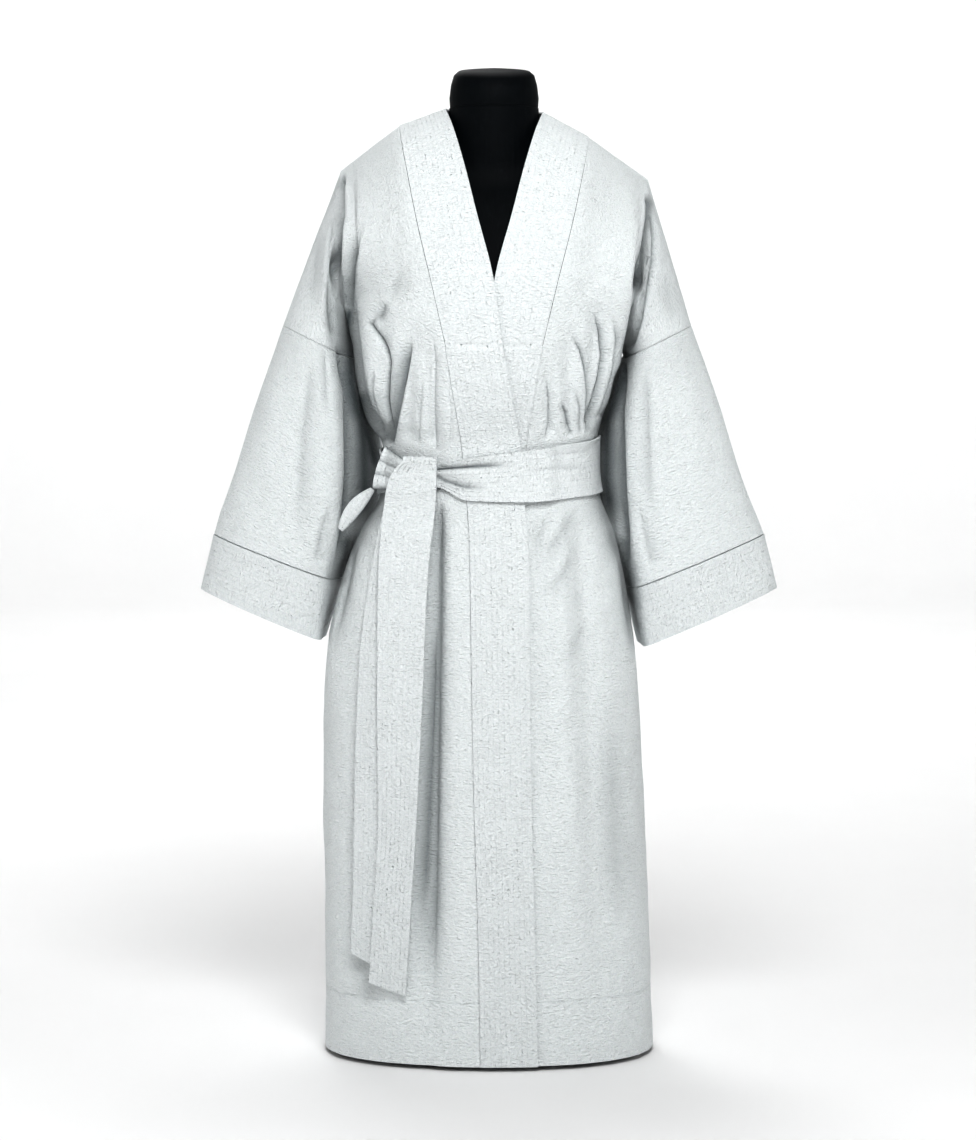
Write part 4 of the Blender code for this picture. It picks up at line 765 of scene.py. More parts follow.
def panel_rims(grid, side_columns, band_edges):
    """The rims of a front or back: its hem, its side, shoulder and sleeve seams, and its band seam."""
    level, up = np.array((0.0, 1.0, 0.0)), np.array((0.0, 0.0, 1.0))
    rims = [(np.s_[0, :], up)]
    for side, column, arm in side_columns:
        row = arm_row(side)
        rims.append((np.s_[:row + 1, column], level))
        rims.append(((row, list(arm)), underarm_across(grid, row, arm)))
    rims.append((np.s_[-1, :], level))
    for side, column, arm in side_columns:
        rims.append((np.s_[arm_row(side):, arm[-1]], arm_axis(side)))
    return rims + band_edges


def arm_axis(side):
    """Direction of the arm, square to the ring at the sleeve's seam."""
    outer_x, outer_z, inner_x, inner_z = SLEEVE[side][0, 1:5]
    return np.array((side * (outer_z - inner_z), 0.0, -(outer_x - inner_x)))


def make_front(side, word, material):
    """One front: rows from hem to shoulder, columns from the band to the sleeve."""
    rows, columns = len(BODY_ROWS) + UPPER_ROWS, FRONT_COLUMNS + 1 + ARM_COLUMNS
    grid = np.full((rows, columns, 3), np.nan)
    across = np.zeros((rows, 3))
    for i, z in enumerate(BODY_ROWS):
        ring = Ring(z)
        share = np.linspace(seam_share(ring, side), 1, FRONT_COLUMNS + 1)
        grid[i, :FRONT_COLUMNS + 1] = ring.at_share(side * share)
        across[i] = grid[i, 1] - grid[i, 0]
    armpit = len(BODY_ROWS) - 1
    up = np.linspace(0, 1, UPPER_ROWS + 1)
    seam, across[armpit:] = neck_seam(side, up)
    inner = seam + across[armpit:] * SEAM_GAP / 2
    inner[0] = grid[armpit, 0]
    outer, turn = armhole(side, grid[armpit, FRONT_COLUMNS], FRONT)
    shoulder = np.linspace(inner[-1], outer[-1], FRONT_COLUMNS + 1)
    patch = upper_patch(grid[armpit, :FRONT_COLUMNS + 1], shoulder, inner, outer, FRONT_REACH)
    grid[armpit:, :FRONT_COLUMNS + 1] = patch
    arm = range(FRONT_COLUMNS + 1, FRONT_COLUMNS + 1 + ARM_COLUMNS)
    for k, column in enumerate(arm, 1):
        grid[arm_row(side):, column] = arm_point(UPPER_ARM[side], side, k / ARM_COLUMNS, turn, FRONT)
    sides = ((side, FRONT_COLUMNS, arm),)
    grid = part_seams(grid, FRONT, sides)
    rims = panel_rims(grid, sides, [(np.s_[:, 0], across)])
    hollow = painted_crease_shade(grid, (FRONT,))
    grid = folded(grid, FRONT, side)
    return wall(f"front_{word}_cloth", grid, PANEL_WALL, material, overlap_lift(side, grid), outward=side, rims=rims,
                hollow=hollow)


def soften_corner(grid, start, column):
    """Rounds the back below a corner of the neck, fully at mid height and not at the ends of that line."""
    rows = np.arange(start, len(grid))
    near = np.arange(column - CORNER_REACH, column + CORNER_REACH + 1)
    for row, weight in zip(rows, np.sqrt(np.sin(math.pi * np.linspace(0, 1, len(rows))))):
        x, y = grid[row, near, 0], grid[row, near, 1].copy()
        span = x[-1] - x[0]
        t = (x - x[0]) / span
        first_slope = (y[1] - y[0]) / (x[1] - x[0]) * span
        last_slope = (y[-1] - y[-2]) / (x[-1] - x[-2]) * span
        curve = y[0] * (2 * t**3 - 3 * t**2 + 1) + y[-1] * (3 * t**2 - 2 * t**3)
        curve += first_slope * (t**3 - 2 * t**2 + t) + last_slope * (t**3 - t**2)
        grid[row, near, 1] = y + (curve - y) * weight


def make_back(material):
    """The back: rows from hem to shoulder, columns from the right sleeve to the left one."""
    rows, columns = len(BODY_ROWS) + UPPER_ROWS, BACK_COLUMNS + 1 + 2 * ARM_COLUMNS
    grid = np.full((rows, columns, 3), np.nan)
    first, last = ARM_COLUMNS, ARM_COLUMNS + BACK_COLUMNS
    share = np.linspace(-1, 1, BACK_COLUMNS + 1)
    turned = np.where(share <= 0, -2 - share, 2 - share)
    armpit = len(BODY_ROWS) - 1
    for i, z in enumerate(BODY_ROWS):
        grid[i, first:last + 1] = Ring(z).at_share(turned)
    up = np.linspace(0, 1, UPPER_ROWS + 1)
    edges, turns = {}, {}
    for side, column in ((RIGHT, first), (LEFT, last)):
        edges[side], turns[side] = armhole(side, grid[armpit, column], BACK)
    tops, acrosses = [], []
    for side in (RIGHT, LEFT):
        seam, across = neck_seam(side, np.linspace(1, 2, NECK_COLUMNS + 1))
        neck_edge = seam + across * SEAM_GAP / 2
        shoulder = np.linspace(edges[side][-1], neck_edge[0], SHOULDER_COLUMNS + 1)[:-1]
        tops.append(np.vstack([shoulder, neck_edge]))
        acrosses.append(across)
    top = np.vstack([tops[0], tops[1][::-1][1:]])
    across = np.vstack([acrosses[0], acrosses[1][::-1][1:]])
    patch = upper_patch(grid[armpit, first:last + 1], top, edges[RIGHT], edges[LEFT], BACK_REACH)
    blades = BLADE_DEPTH * np.sin(math.pi * up)[:, None] * (1 - share[None, :] ** 2)
    patch[..., 1] += blades
    grid[armpit:, first:last + 1] = patch
    arms = {RIGHT: range(first - 1, -1, -1), LEFT: range(last + 1, columns)}
    for side, arm in arms.items():
        for k, column in enumerate(arm, 1):
            share = k / ARM_COLUMNS
            grid[arm_row(side):, column] = arm_point(UPPER_ARM[side], side, share, turns[side], BACK)
    for column in (first + SHOULDER_COLUMNS, last - SHOULDER_COLUMNS):
        soften_corner(grid, armpit + 1, column)
    sides = ((RIGHT, first, arms[RIGHT]), (LEFT, last, arms[LEFT]))
    grid = part_seams(grid, BACK, sides)
    neck = np.arange(first + SHOULDER_COLUMNS, last - SHOULDER_COLUMNS + 1)
    rims = panel_rims(grid, sides, [((-1, neck), across)])
    hollow = painted_crease_shade(grid, (BACK,))
    return wall("back_cloth", folded(grid, BACK, -1), PANEL_WALL, material, outward=-1, rims=rims, hollow=hollow)


def make_band(side, word, material):
    """Half the band: rows from the hem to the back of the neck."""
    rows, acrosses = [], []
    share = np.linspace(0, 1, BAND_COLUMNS + 1)
    for z in BODY_ROWS[:-1]:
        ring = Ring(z)
        free = -smooth(BAND[:, 0], BAND[:, 1], z) * UNDERLAP[side]
        seam = smooth(BAND[:, 0], BAND[:, 2], z) - SEAM_GAP / 2
        rows.append(ring.at_share(ring.share_of(side * (free + (seam - free) * share))))
        acrosses.append(rows[-1][-1] - rows[-1][-2])
    up, round_neck = np.linspace(0, 1, UPPER_ROWS + 1), np.linspace(1, 2, NECK_COLUMNS + 1)
    for place in np.concatenate([up, round_neck[1:]]):
        seam, across = neck_seam(side, place)
        free = neck_curve(side, (0, 1, 2), place)
        rows.append(free + (seam - across * SEAM_GAP / 2 - free) * share[:, None])
        acrosses.append(across)
    grid = np.array(rows)
    grid[-1, :, 0] = side * SEAM_GAP / 2
    hollow = painted_crease_shade(grid, (FRONT,))
    grid = folded(grid, FRONT, side)
    rims = [
        (np.s_[0, :], np.array((0.0, 0.0, 1.0))),
        (np.s_[:, -1], np.array(acrosses)),
        (np.s_[-1, :], np.array((1.0, 0.0, 0.0))),
    ]
    return wall(f"band_{word}_cloth", grid, QUILTED_WALL, material, overlap_lift(side, grid), outward=side, rims=rims,
                hollow=hollow)


def make_tube(name, table, side, rows, thickness, gap, material):
    """A sleeve or a cuff: a row for each ring, columns once round it."""
    grid = []
    for share in np.linspace(gap / np.linalg.norm(table[-1, 1:3] - table[0, 1:3]), 1, rows + 1):
        turn = np.linspace(0, 2, SLEEVE_SIDES + 1)[:-1]
        face = np.where(turn <= 1, FRONT, BACK)
        grid.append(arm_point(table, side, share, np.where(turn <= 1, turn, 2 - turn), face))
    rims = []
    for row in (0, -1):
        outer_x, outer_z, inner_x, inner_z = table[row, 1:5]
        rims.append((np.s_[row, :], np.array((side * (outer_z - inner_z), 0.0, -(outer_x - inner_x)))))
    grid = np.array(grid)
    height = crumple(grid)
    for face in (FRONT, BACK):
        height += crease_height(grid, face, CREASES)
    hollow = painted_crease_shade(grid, (FRONT, BACK))
    grid = grid + closed_normals(grid)[:, :-1] * side * height[..., None]
    return wall(name, grid, thickness, material, closed=True, outward=side, rims=rims, hollow=hollow)


def surface_at(x, z):
    """The base surface of the front at a given x and height."""
    ring = Ring(z)
    front = np.abs(ring.share) <= 1
    return np.array([x, np.interp(x, ring.points[front, 0], ring.points[front, 1]), z])


def belt_lift(points):
    """Height of the belt's inside over the base surface: more where the fronts overlap."""
    x, y = points[..., 0], points[..., 1]
    over = ease(*BELT_RISE_RIGHT, x) * ease(*BELT_RISE_LEFT, x) * (y < 0)
    single = PANEL_WALL + BELT_GAP
    double = 2 * QUILTED_WALL + LAYER_GAP + BELT_GAP
    return single + (double - single) * over


def make_belt_waist(material):
    """The belt round the waist, which stands clear of the robe's wall."""
    shares = np.linspace(-2, 2, BELT_COLUMNS + 1)[:-1]
    grid = np.zeros((BELT_ROWS, BELT_COLUMNS, 3))
    for j, share in enumerate(shares):
        top = smooth(BELT[:, 0], BELT[:, 1], share)
        bottom = smooth(BELT[:, 0], BELT[:, 2], share)
        for i, z in enumerate(np.linspace(bottom, top, BELT_ROWS)):
            grid[i, j] = Ring(z).at_share(share)
    lift = belt_lift(grid) + belt_relief(grid)
    return wall("belt_waist_cloth", grid, QUILTED_WALL, material, np.hstack([lift, lift[:, :1]]), closed=True,
                hollow=belt_painted_shade(grid))


def skirt_front(x, z):
    """How far forward the cloth on the skirt's right side reaches, folds included, as a y."""
    point = surface_at(x, z)
    out = fold_height(point, FRONT) + overlap_lift(RIGHT, point) + PANEL_WALL
    top = np.interp(ring_share(point), BELT[:, 0], BELT[:, 1])
    bottom = np.interp(ring_share(point), BELT[:, 0], BELT[:, 2])
    if bottom - BELT_MARGIN < z < top + BELT_MARGIN:
        out = max(out, belt_lift(point) + QUILTED_WALL)
    ahead = surface_at(x + 0.002, z)[1] - point[1]
    return point[1] - out * math.hypot(1, ahead / 0.002)


def ring_share(point):
    """Where a point of the front surface lies round its ring."""
    ring = Ring(point[2])
    front = np.abs(ring.share) <= 1
    return np.interp(point[0], ring.points[front, 0], ring.share[front])


def tail_plane(table, tilt, under):
    """Heights of a tail and the y of its right edge at each, resting on the foremost cloth."""
    heights = np.linspace(table[0, 0], table[-1, 0], TAIL_STEPS)
    rest = []
    for z in heights:
        left, right = (smooth(-table[:, 0], table[:, k], -z) for k in (1, 2))
        samples = np.linspace(left, right, TAIL_SAMPLES)
        rest.append(min(under(x, z) - (right - x) * tilt for x in samples) - TAIL_GAP)
    reach = range(len(rest))
    lowest = [min(rest[max(0, i - TAIL_DRAPE):i + TAIL_DRAPE + 1]) for i in reach]
    even = [np.mean(lowest[max(0, i - TAIL_DRAPE):i + TAIL_DRAPE + 1]) for i in reach]
    return heights, np.array(even)


def tail_y(table, tilt, plane, x, z):
    """The y of a tail's inner face."""
    right = smooth(-table[:, 0], table[:, 2], -z)
    return np.interp(-z, -plane[0], plane[1]) + (right - x) * tilt


def make_tail(name, table, tilt, slant, turn, plane, material):
    """A belt tail, a straight strip that hangs in front of the skirt."""
    rows = TAIL_ROWS
    grid = []
    tip = table[-1, 0]
    for z in np.linspace(table[0, 0], tip, rows):
        left, right = (smooth(-table[:, 0], table[:, k], -z) for k in (1, 2))
        row = []
        for share in np.linspace(0, 1, TAIL_COLUMNS + 1):
            x = left + (right - left) * share
            height = z + slant * (0.5 - share) * ease(tip + TAIL_SLANT_REACH, tip, z)
            row.append((x, tail_y(table, tilt, plane, x, z), height))
        grid.append(row)
    for back, height in turn:
        top = np.array(grid[turn.index((back, height))])
        top[:, 1] = np.array(grid[-rows])[:, 1] + back
        top[:, 2] = table[0, 0] + height
        grid.insert(0, top)
    return wall(f"{name}_cloth", tail_relief(np.array(grid)), TAIL_WALL, material, outward=-1)


def make_tails(material):
    """Both hanging ends of the belt. The front one lies over the back one and the knot."""
    back_plane = tail_plane(BACK_TAIL, BACK_TAIL_TILT, skirt_front)

    def under_front(x, z):
        y = skirt_front(x, z)
        if BACK_TAIL[-1, 0] - BACK_TAIL_SLANT < z < BACK_TAIL[0, 0] + BELT_MARGIN:
            y = min(y, tail_y(BACK_TAIL, BACK_TAIL_TILT, back_plane, x, z) - TAIL_WALL * 1.1)
        if x < KNOT[:, 1].max() + KNOT_MARGIN and KNOT[-1, 2] - KNOT_MARGIN < z:
            y = min(y, knot_y(x, z) - KNOT_PLEAT_DEPTH - TAIL_WALL)
        return y

    heights, rest = tail_plane(FRONT_TAIL, FRONT_TAIL_TILT, under_front)
    front_plane = heights, rest + FRONT_TAIL_SEAT
    behind = make_tail("belt_tail_back", BACK_TAIL, BACK_TAIL_TILT, BACK_TAIL_SLANT, (), back_plane, material)
    turn = FRONT_TAIL_TURN
    ahead = make_tail("belt_tail_front", FRONT_TAIL, FRONT_TAIL_TILT, FRONT_TAIL_SLANT, turn, front_plane, material)
    return behind, ahead


def knot_y(x, z):
    """The y of the knot's inner face, which rests on the belt and turns with it round the side."""
    near = max(x, KNOT_CORNER_X)
    rest = min(skirt_front(near, z), skirt_front(near, KNOT_LEVEL))
    stand = KNOT_STAND * ease(KNOT_CORNER_X, KNOT[:, 1].max(), x)
    return rest - KNOT_GAP - stand + (near - x) * KNOT_WRAP


def make_knot(material):
    """The knot's side: the strap's gathered turns, seen left of the tail that comes over them."""
    grid = []
    for across in np.linspace(0, 1, KNOT_COLUMNS + 1):
        row = []
        for down in np.linspace(0, 1, KNOT_ROWS + 1):
            x, z, outer_x, outer_z = (smooth(KNOT[:, 0], KNOT[:, k], down) for k in range(1, 5))
            x, z = x + (outer_x - x) * across, z + (outer_z - z) * across
            pleat = KNOT_PLEAT_DEPTH * abs(math.sin(math.pi * KNOT_PLEATS * down)) ** KNOT_PLEAT_ROUND
            row.append((x, knot_y(x, z) - pleat, z))
        grid.append(row)
    # Painted shade between the knot's pleats, darkest where they fold in
    between = 1 - np.abs(np.sin(math.pi * KNOT_PLEATS * np.linspace(0, 1, KNOT_ROWS + 1)))
    hollow = np.tile(0.9 * between**3, (KNOT_COLUMNS + 1, 1))
    return wall("belt_knot_cloth", np.array(grid), TAIL_WALL, material, outward=-1, hollow=hollow)


def make_loose_end(material):
    """The loose end of the knot, a flattened fold of the belt that narrows to its tip."""
    rings = []
    top, tip = np.array(LOOSE_TOP), np.array(LOOSE_TIP)
    down = (tip - top) / np.linalg.norm(tip - top)
    across = np.cross((0.0, 1.0, 0.0), down)
    for share in np.linspace(0.0, 1.0, LOOSE_RINGS):
        swell = math.sin(math.pi * (LOOSE_START + share * (LOOSE_END - LOOSE_START))) ** 0.8
        size = LOOSE_TIP_SIZE + (1 - LOOSE_TIP_SIZE) * swell
        centre = top + (tip - top) * share + across * LOOSE_BOW * math.sin(math.pi * share)
        ring = []
        for angle in np.linspace(0, 2 * math.pi, LOOSE_SIDES + 1)[:-1]:
            wide = across * LOOSE_HALF_WIDTH * size * math.cos(angle)
            deep = np.array((0.0, 1.0, 0.0)) * LOOSE_HALF_DEPTH * size * math.sin(angle)
            ring.append(centre + wide + deep)
        rings.append(ring)
    return loft("belt_end_cloth", rings, material)


def form_rings():
    """Dress form from its flat underside to the neck, as one smooth outline."""
    rings = []
    for z in (*FORM[:, 0], NECK_TOP_Z):
        half, front, back = (smooth(FORM[:, 0], FORM[:, k], z) for k in range(1, 4))
        neck = ease(*NECK_START, z)
        ring = []
        for angle in np.linspace(0, 2 * math.pi, FORM_SIDES + 1)[:-1]:
            cosine, sine = math.cos(angle), math.sin(angle)
            depth = back if sine > 0 else front
            body = 1 / math.hypot(cosine / half, sine / depth)
            stem = neck / math.hypot(cosine / NECK_HALF_WIDTH, sine / NECK_HALF_DEPTH)
            body = max(body - FORM_INSET, 0)
            radius = (body**NECK_JOIN + stem**NECK_JOIN) ** (1 / NECK_JOIN)
            if z >= NECK_TOP_Z:
                radius = stem
            ring.append((radius * cosine, radius * sine + NECK_CENTRE_Y * neck, z))
        rings.append(np.array(ring))
    return rings


def cap_rings():
    """Neck cap: a rounded plug whose top leans forward."""
    rings = []
    for share, size in CAP_PROFILE:
        ring = []
        for angle in np.linspace(0, 2 * math.pi, FORM_SIDES + 1)[:-1]:
            x = NECK_HALF_WIDTH * size * math.cos(angle)
            y = NECK_HALF_DEPTH * size * math.sin(angle)
            z = CAP_HEIGHT * share + math.tan(CAP_LEAN) * y * share
            ring.append((x, y + NECK_CENTRE_Y, NECK_TOP_Z + SEAM_GAP + z))
        rings.append(np.array(ring))
    return rings


def value_noise(points, size, seed):
    """Smooth noise from -1 to 1, the same on every run."""
    place = np.nan_to_num(points) / size + 17.31 * seed
    cell = np.floor(place)
    part = place - cell
    part = part * part * (3 - 2 * part)
    total = np.zeros(points.shape[:-1])
    for corner in itertools.product((0, 1), repeat=3):
        key = np.sin((cell + corner) @ np.array((12.9898, 78.233, 37.719)) + seed) * 43758.5453
        weight = np.prod(np.where(np.array(corner) == 1, part, 1 - part), axis=-1)
        total += (key - np.floor(key)) * weight
    return 2 * total - 1


def crease_height(points, face, creases, gated=True):
    """How far the listed creases move each point out. Gated ones fade out at the sides of the body."""
    x, z = np.nan_to_num(points[..., 0]), np.nan_to_num(points[..., 2])
    troughs, ridges = np.zeros(x.shape), np.zeros(x.shape)
    for own, line, width, height, lean, fade_in, fade_out in creases:
        if own != face:
            continue
        line = np.array(line)
        steps = np.linalg.norm(np.diff(line, axis=0), axis=1)
        run = np.concatenate([[0], np.cumsum(steps)])
        best, signed, along = np.full(x.shape, 9.0), np.zeros(x.shape), np.zeros(x.shape)
        for k, step in enumerate(steps):
            ax, az = line[k]
            bx, bz = (line[k + 1] - line[k]) / step
            t = np.clip((x - ax) * bx + (z - az) * bz, 0, step)
            dx, dz = x - ax - t * bx, z - az - t * bz
            near = np.hypot(dx, dz)
            closer = near < best
            best = np.where(closer, near, best)
            signed = np.where(closer, near * np.sign(bx * dz - bz * dx), signed)
            along = np.where(closer, run[k] + t, along)
        share = along / run[-1]
        reach = width * np.where(signed > 0, 1 + lean, 1 - lean) * (0.75 + 0.5 * share)
        fade = ease(0, fade_in, share) * ease(1, 1 - fade_out, share)
        own_height = height * fade * np.exp(-((best / reach) ** CREASE_POWER))
        troughs, ridges = np.minimum(troughs, own_height), np.maximum(ridges, own_height)
    total = troughs + ridges
    if face == WAIST or not gated:
        return total
    return total * ease(FOLD_CLEAR, FOLD_FULL, face * np.nan_to_num(points[..., 1]))


def crumple(points):
    """Uneven relief of worn cotton: slight on the shoulders, and only inward under the belt and its ends."""
    x, y, z = np.moveaxis(np.nan_to_num(points), -1, 0)
    total = np.zeros(x.shape)
    for seed, (size, height) in enumerate(CRUMPLE, 3):
        total += height * value_noise(points * (1.0, 1.0, 0.7), size, seed)
    total *= 1 - 0.85 * ease(CALM_Z - 0.06, CALM_Z, z)
    belt = ease(0.680, 0.695, z) * ease(0.790, 0.775, z) * (np.abs(x) < BELT_REACH)
    ends = ease(-0.190, -0.175, x) * ease(-0.060, -0.075, x) * ease(0.700, 0.690, z) * (y < 0)
    under = np.maximum(belt, ends)
    return total * (1 - under) + np.minimum(total, 0) * under


def closed_normals(grid):
    """Normals of a grid whose columns go once round, with the first column's again at the end."""
    wrapped = np.concatenate([grid[:, -1:], grid, grid[:, :2]], axis=1)
    return grid_normals(wrapped)[:, 1:-1]


def belt_relief(grid):
    """Creases and unevenness of the belt, as a change of its lift."""
    return crease_height(grid, WAIST, BELT_CREASES) * (grid[..., 1] < 0) + 0.0004 * value_noise(grid, 0.03, 9)


def tail_relief(grid):
    """A slight waviness along a hanging end, which moves it forward only."""
    wave = value_noise(grid * (0.3, 1.0, 1.0), 0.045, 11)
    grid[..., 1] -= 0.0007 * (1 + wave)
    return grid


def painted_crease_shade(grid, faces):
    """How much painted shade each point gets: 0 on the open cloth, 1 where its colour is darkened most, by the depth of
    its creases and the painted shade lines.
    """
    y = np.nan_to_num(grid[..., 1])
    depth = sum(crease_height(grid, face, CREASES, len(faces) > 1) for face in faces)
    painted_shade = PAINTED_CREASE_SHADE_STRENGTH * np.clip(-depth / PAINTED_CREASE_SHADE_DEPTH, 0, 1) ** 1.2
    if FRONT in faces:
        painted_shade = np.maximum(painted_shade, -crease_height(grid, FRONT, PAINTED_SHADE_LINES, False) * (y < PAINTED_SHADE_LINES_MAX_Y))
    return painted_shade


def belt_painted_shade(grid):
    """Painted shade of the belt: how much each point's colour is darkened by its depth in a pleat."""
    depth = crease_height(grid, WAIST, BELT_CREASES) * (grid[..., 1] < 0)
    return 0.9 * np.clip(-depth / BELT_PAINTED_SHADE_DEPTH, 0, 1) ** 1.5


def folded(grid, face, outward):
    """Adds folds and creases to a base grid, along its own normals."""
    height = fold_height(grid, face) + crease_height(grid, face, CREASES) + crumple(grid)
    return grid + grid_normals(grid) * outward * height[..., None]


def wall(name, points, thickness, material, lift=0.0, closed=False, outward=1, rims=(), hollow=None):
    """A cloth shell on a grid of base points; missing points are NaN. Its map is the flat cut, in metres."""
    rows, columns = points.shape[0], points.shape[1] + closed
    grid = np.concatenate([points, points[:, :1]], axis=1) if closed else points
    normals = closed_normals(points) if closed else grid_normals(grid)
    normals = squared(normals * outward, rims)
    lift = np.broadcast_to(np.asarray(lift, float), (rows, columns))[..., None]
    inner, outer = grid + normals * lift, grid + normals * (lift + thickness)
    across = np.nanmean(np.linalg.norm(np.diff(grid, axis=1), axis=-1), axis=0)
    down = np.nanmean(np.linalg.norm(np.diff(grid, axis=0), axis=-1), axis=1)
    across, down = np.append(0, np.cumsum(across)), np.append(0, np.cumsum(down))
    flat = np.stack(np.meshgrid(across, down), axis=-1).reshape(-1, 2)
    if name.startswith(ROWS_ROUND):
        flat = flat[:, ::-1]
    cells = np.arange(rows * columns).reshape(rows, columns)
    present = ~np.isnan(grid[..., 0])
    whole = present[:-1, :-1] & present[1:, :-1] & present[1:, 1:] & present[:-1, 1:]
    quads = np.stack([cells[:-1, :-1], cells[:-1, 1:], cells[1:, 1:], cells[1:, :-1]], axis=-1)[whole]
    if outward < 0:
        quads = quads[:, ::-1]
    merged = cells.copy()
    if closed:
        merged[:, -1] = cells[:, 0]
    merged, count = merged.ravel(), rows * columns
    ends = np.concatenate([np.stack([quads[:, k], quads[:, (k + 1) % 4]], axis=1) for k in range(4)])
    joined = merged[ends]
    forward, backward = joined[:, 0] * count + joined[:, 1], joined[:, 1] * count + joined[:, 0]
    edge = ends[~np.isin(forward, backward)]
    rim = np.stack([edge[:, 1] + count, edge[:, 0] + count, edge[:, 0], edge[:, 1]], axis=1)
    corners = np.concatenate([quads + count, quads[:, ::-1], rim])
    both = np.concatenate([merged, merged + count])
    vertices = np.concatenate([inner.reshape(-1, 3), outer.reshape(-1, 3)])
    used, faces = np.unique(both[corners], return_inverse=True)
    # hollow is the painted shade: how much each point's colour is darkened
    if hollow is None:
        hollow = np.zeros(points.shape[:2])
    if closed:
        hollow = np.concatenate([hollow, hollow[:, :1]], axis=1)
    painted_shade = np.tile(hollow.ravel(), 2)[used]
    return solid(name, vertices[used], faces.reshape(-1, 4), material, flat[corners.ravel() % count], painted_shade)


def loft(name, rings, material):
    """A closed form through rings of points, with a fan at each end and a map in metres."""
    rings = np.array(rings)
    rows, count = rings.shape[:2]
    vertices = np.concatenate([rings.reshape(-1, 3), [rings[0].mean(axis=0), rings[-1].mean(axis=0)]])
    cells = np.arange(rows * count).reshape(rows, count)
    turned = np.roll(cells, -1, axis=1)
    quads = np.stack([cells[:-1], turned[:-1], turned[1:], cells[1:]], axis=-1).reshape(-1, 4)
    first, last = rows * count, rows * count + 1
    faces = [list(face) for face in quads]
    faces += [[first, b, a] for a, b in zip(cells[0], turned[0])]
    faces += [[last, a, b] for a, b in zip(cells[-1], turned[-1])]
    middle = np.append(rings, rings[:, :1], axis=1)
    around = np.append(0, np.cumsum(np.linalg.norm(np.diff(middle, axis=1), axis=-1).mean(axis=0)))
    along = np.append(0, np.cumsum(np.linalg.norm(np.diff(rings, axis=0), axis=-1).mean(axis=1)))
    flat = []
    for face in faces:
        places = [(k % count, k // count) if k < first else (0, 0) for k in face]
        wraps = max(a for a, _ in places) - min(a for a, _ in places) > 1
        for a, b in places:
            flat.append((around[count if wraps and a == 0 else a], along[b]))
    return solid(name, vertices, faces, material, np.array(flat))


def solid(name, vertices, faces, material, flat, painted_shade=None):
    """A shown piece. flat holds each face corner's place on its map; the last argument holds each point's painted
    shade, stored as the hollow attribute that darkens its colour.
    """
    mesh = bpy.data.meshes.new(name)
    mesh.from_pydata(np.asarray(vertices, float).tolist(), [], [list(map(int, face)) for face in faces])
    layer = mesh.uv_layers.new(name="cut")
    layer.data.foreach_set("uv", np.asarray(flat, np.float32).ravel())
    if painted_shade is not None:
        mesh.attributes.new("hollow", "FLOAT", "POINT").data.foreach_set("value", painted_shade.astype(np.float32))
    mesh.validate()
    mesh.materials.append(material)
    mesh.shade_smooth()
    mesh.set_sharp_from_angle(angle=math.radians(60))
    made = bpy.data.objects.new(name, mesh)
    bpy.context.scene.collection.objects.link(made)
    return made


def node(tree, kind, inputs=(), **settings):
    """Adds a shader node. An input's value may be another node's socket."""
    made = tree.nodes.new(kind)
    for name, value in settings.items():
        setattr(made, name, value)
    for key, value in dict(inputs).items():
        if isinstance(value, bpy.types.NodeSocket):
            tree.links.new(value, made.inputs[key])
        else:
            made.inputs[key].default_value = value
    return made


def maths(tree, operation, first, second=0.5, third=0.5, clamp=False):
    """The result of a Math node."""
    inputs = {0: first, 1: second, 2: third}
    return node(tree, "ShaderNodeMath", inputs, operation=operation, use_clamp=clamp).outputs[0]


def noise(tree, where, scale, detail=2.0, kind="FBM", distortion=0.0):
    """A noise value at a place given in metres. scale is how many of its lumps go in a metre."""
    inputs = {"Vector": where, "Scale": scale, "Detail": detail, "Distortion": distortion}
    return node(tree, "ShaderNodeTexNoise", inputs, noise_type=kind).outputs[0]


def near_line(tree, value, line, half):
    """1 where value is at a line, falling to 0 at half a width from it."""
    away = maths(tree, "ABSOLUTE", maths(tree, "SUBTRACT", value, line))
    return node(tree, "ShaderNodeMapRange", {0: away, 1: half, 2: 0.0}, interpolation_type="SMOOTHSTEP").outputs[0]


def bumped(tree, height, distance, below=None):
    """A bump layer over the one below it. distance is the relief in metres."""
    inputs = {"Height": height, "Distance": distance, "Strength": 1.0}
    if below:
        inputs["Normal"] = below
    return node(tree, "ShaderNodeBump", inputs).outputs[0]


def blended(tree, share, first, second):
    """A mix of two colours."""
    made = tree.nodes.new("ShaderNodeMix")
    made.data_type = "RGBA"
    tree.links.new(share, made.inputs[0])
    for socket, value in ((made.inputs[6], first), (made.inputs[7], second)):
        if isinstance(value, bpy.types.NodeSocket):
            tree.links.new(value, socket)
        else:
            socket.default_value = (*value, 1.0)
    return made.outputs[2]


def shader(name, roughness, sheen, metallic=0.0):
    """A new material, its tree and its Principled node."""
    made = bpy.data.materials.new(name)
    made.use_nodes = True
    principled = made.node_tree.nodes["Principled BSDF"]
    principled.inputs["Roughness"].default_value = roughness
    principled.inputs["Metallic"].default_value = metallic
    principled.inputs["Sheen Weight"].default_value = sheen
    principled.inputs["Sheen Roughness"].default_value = 0.5
    return made, made.node_tree, principled


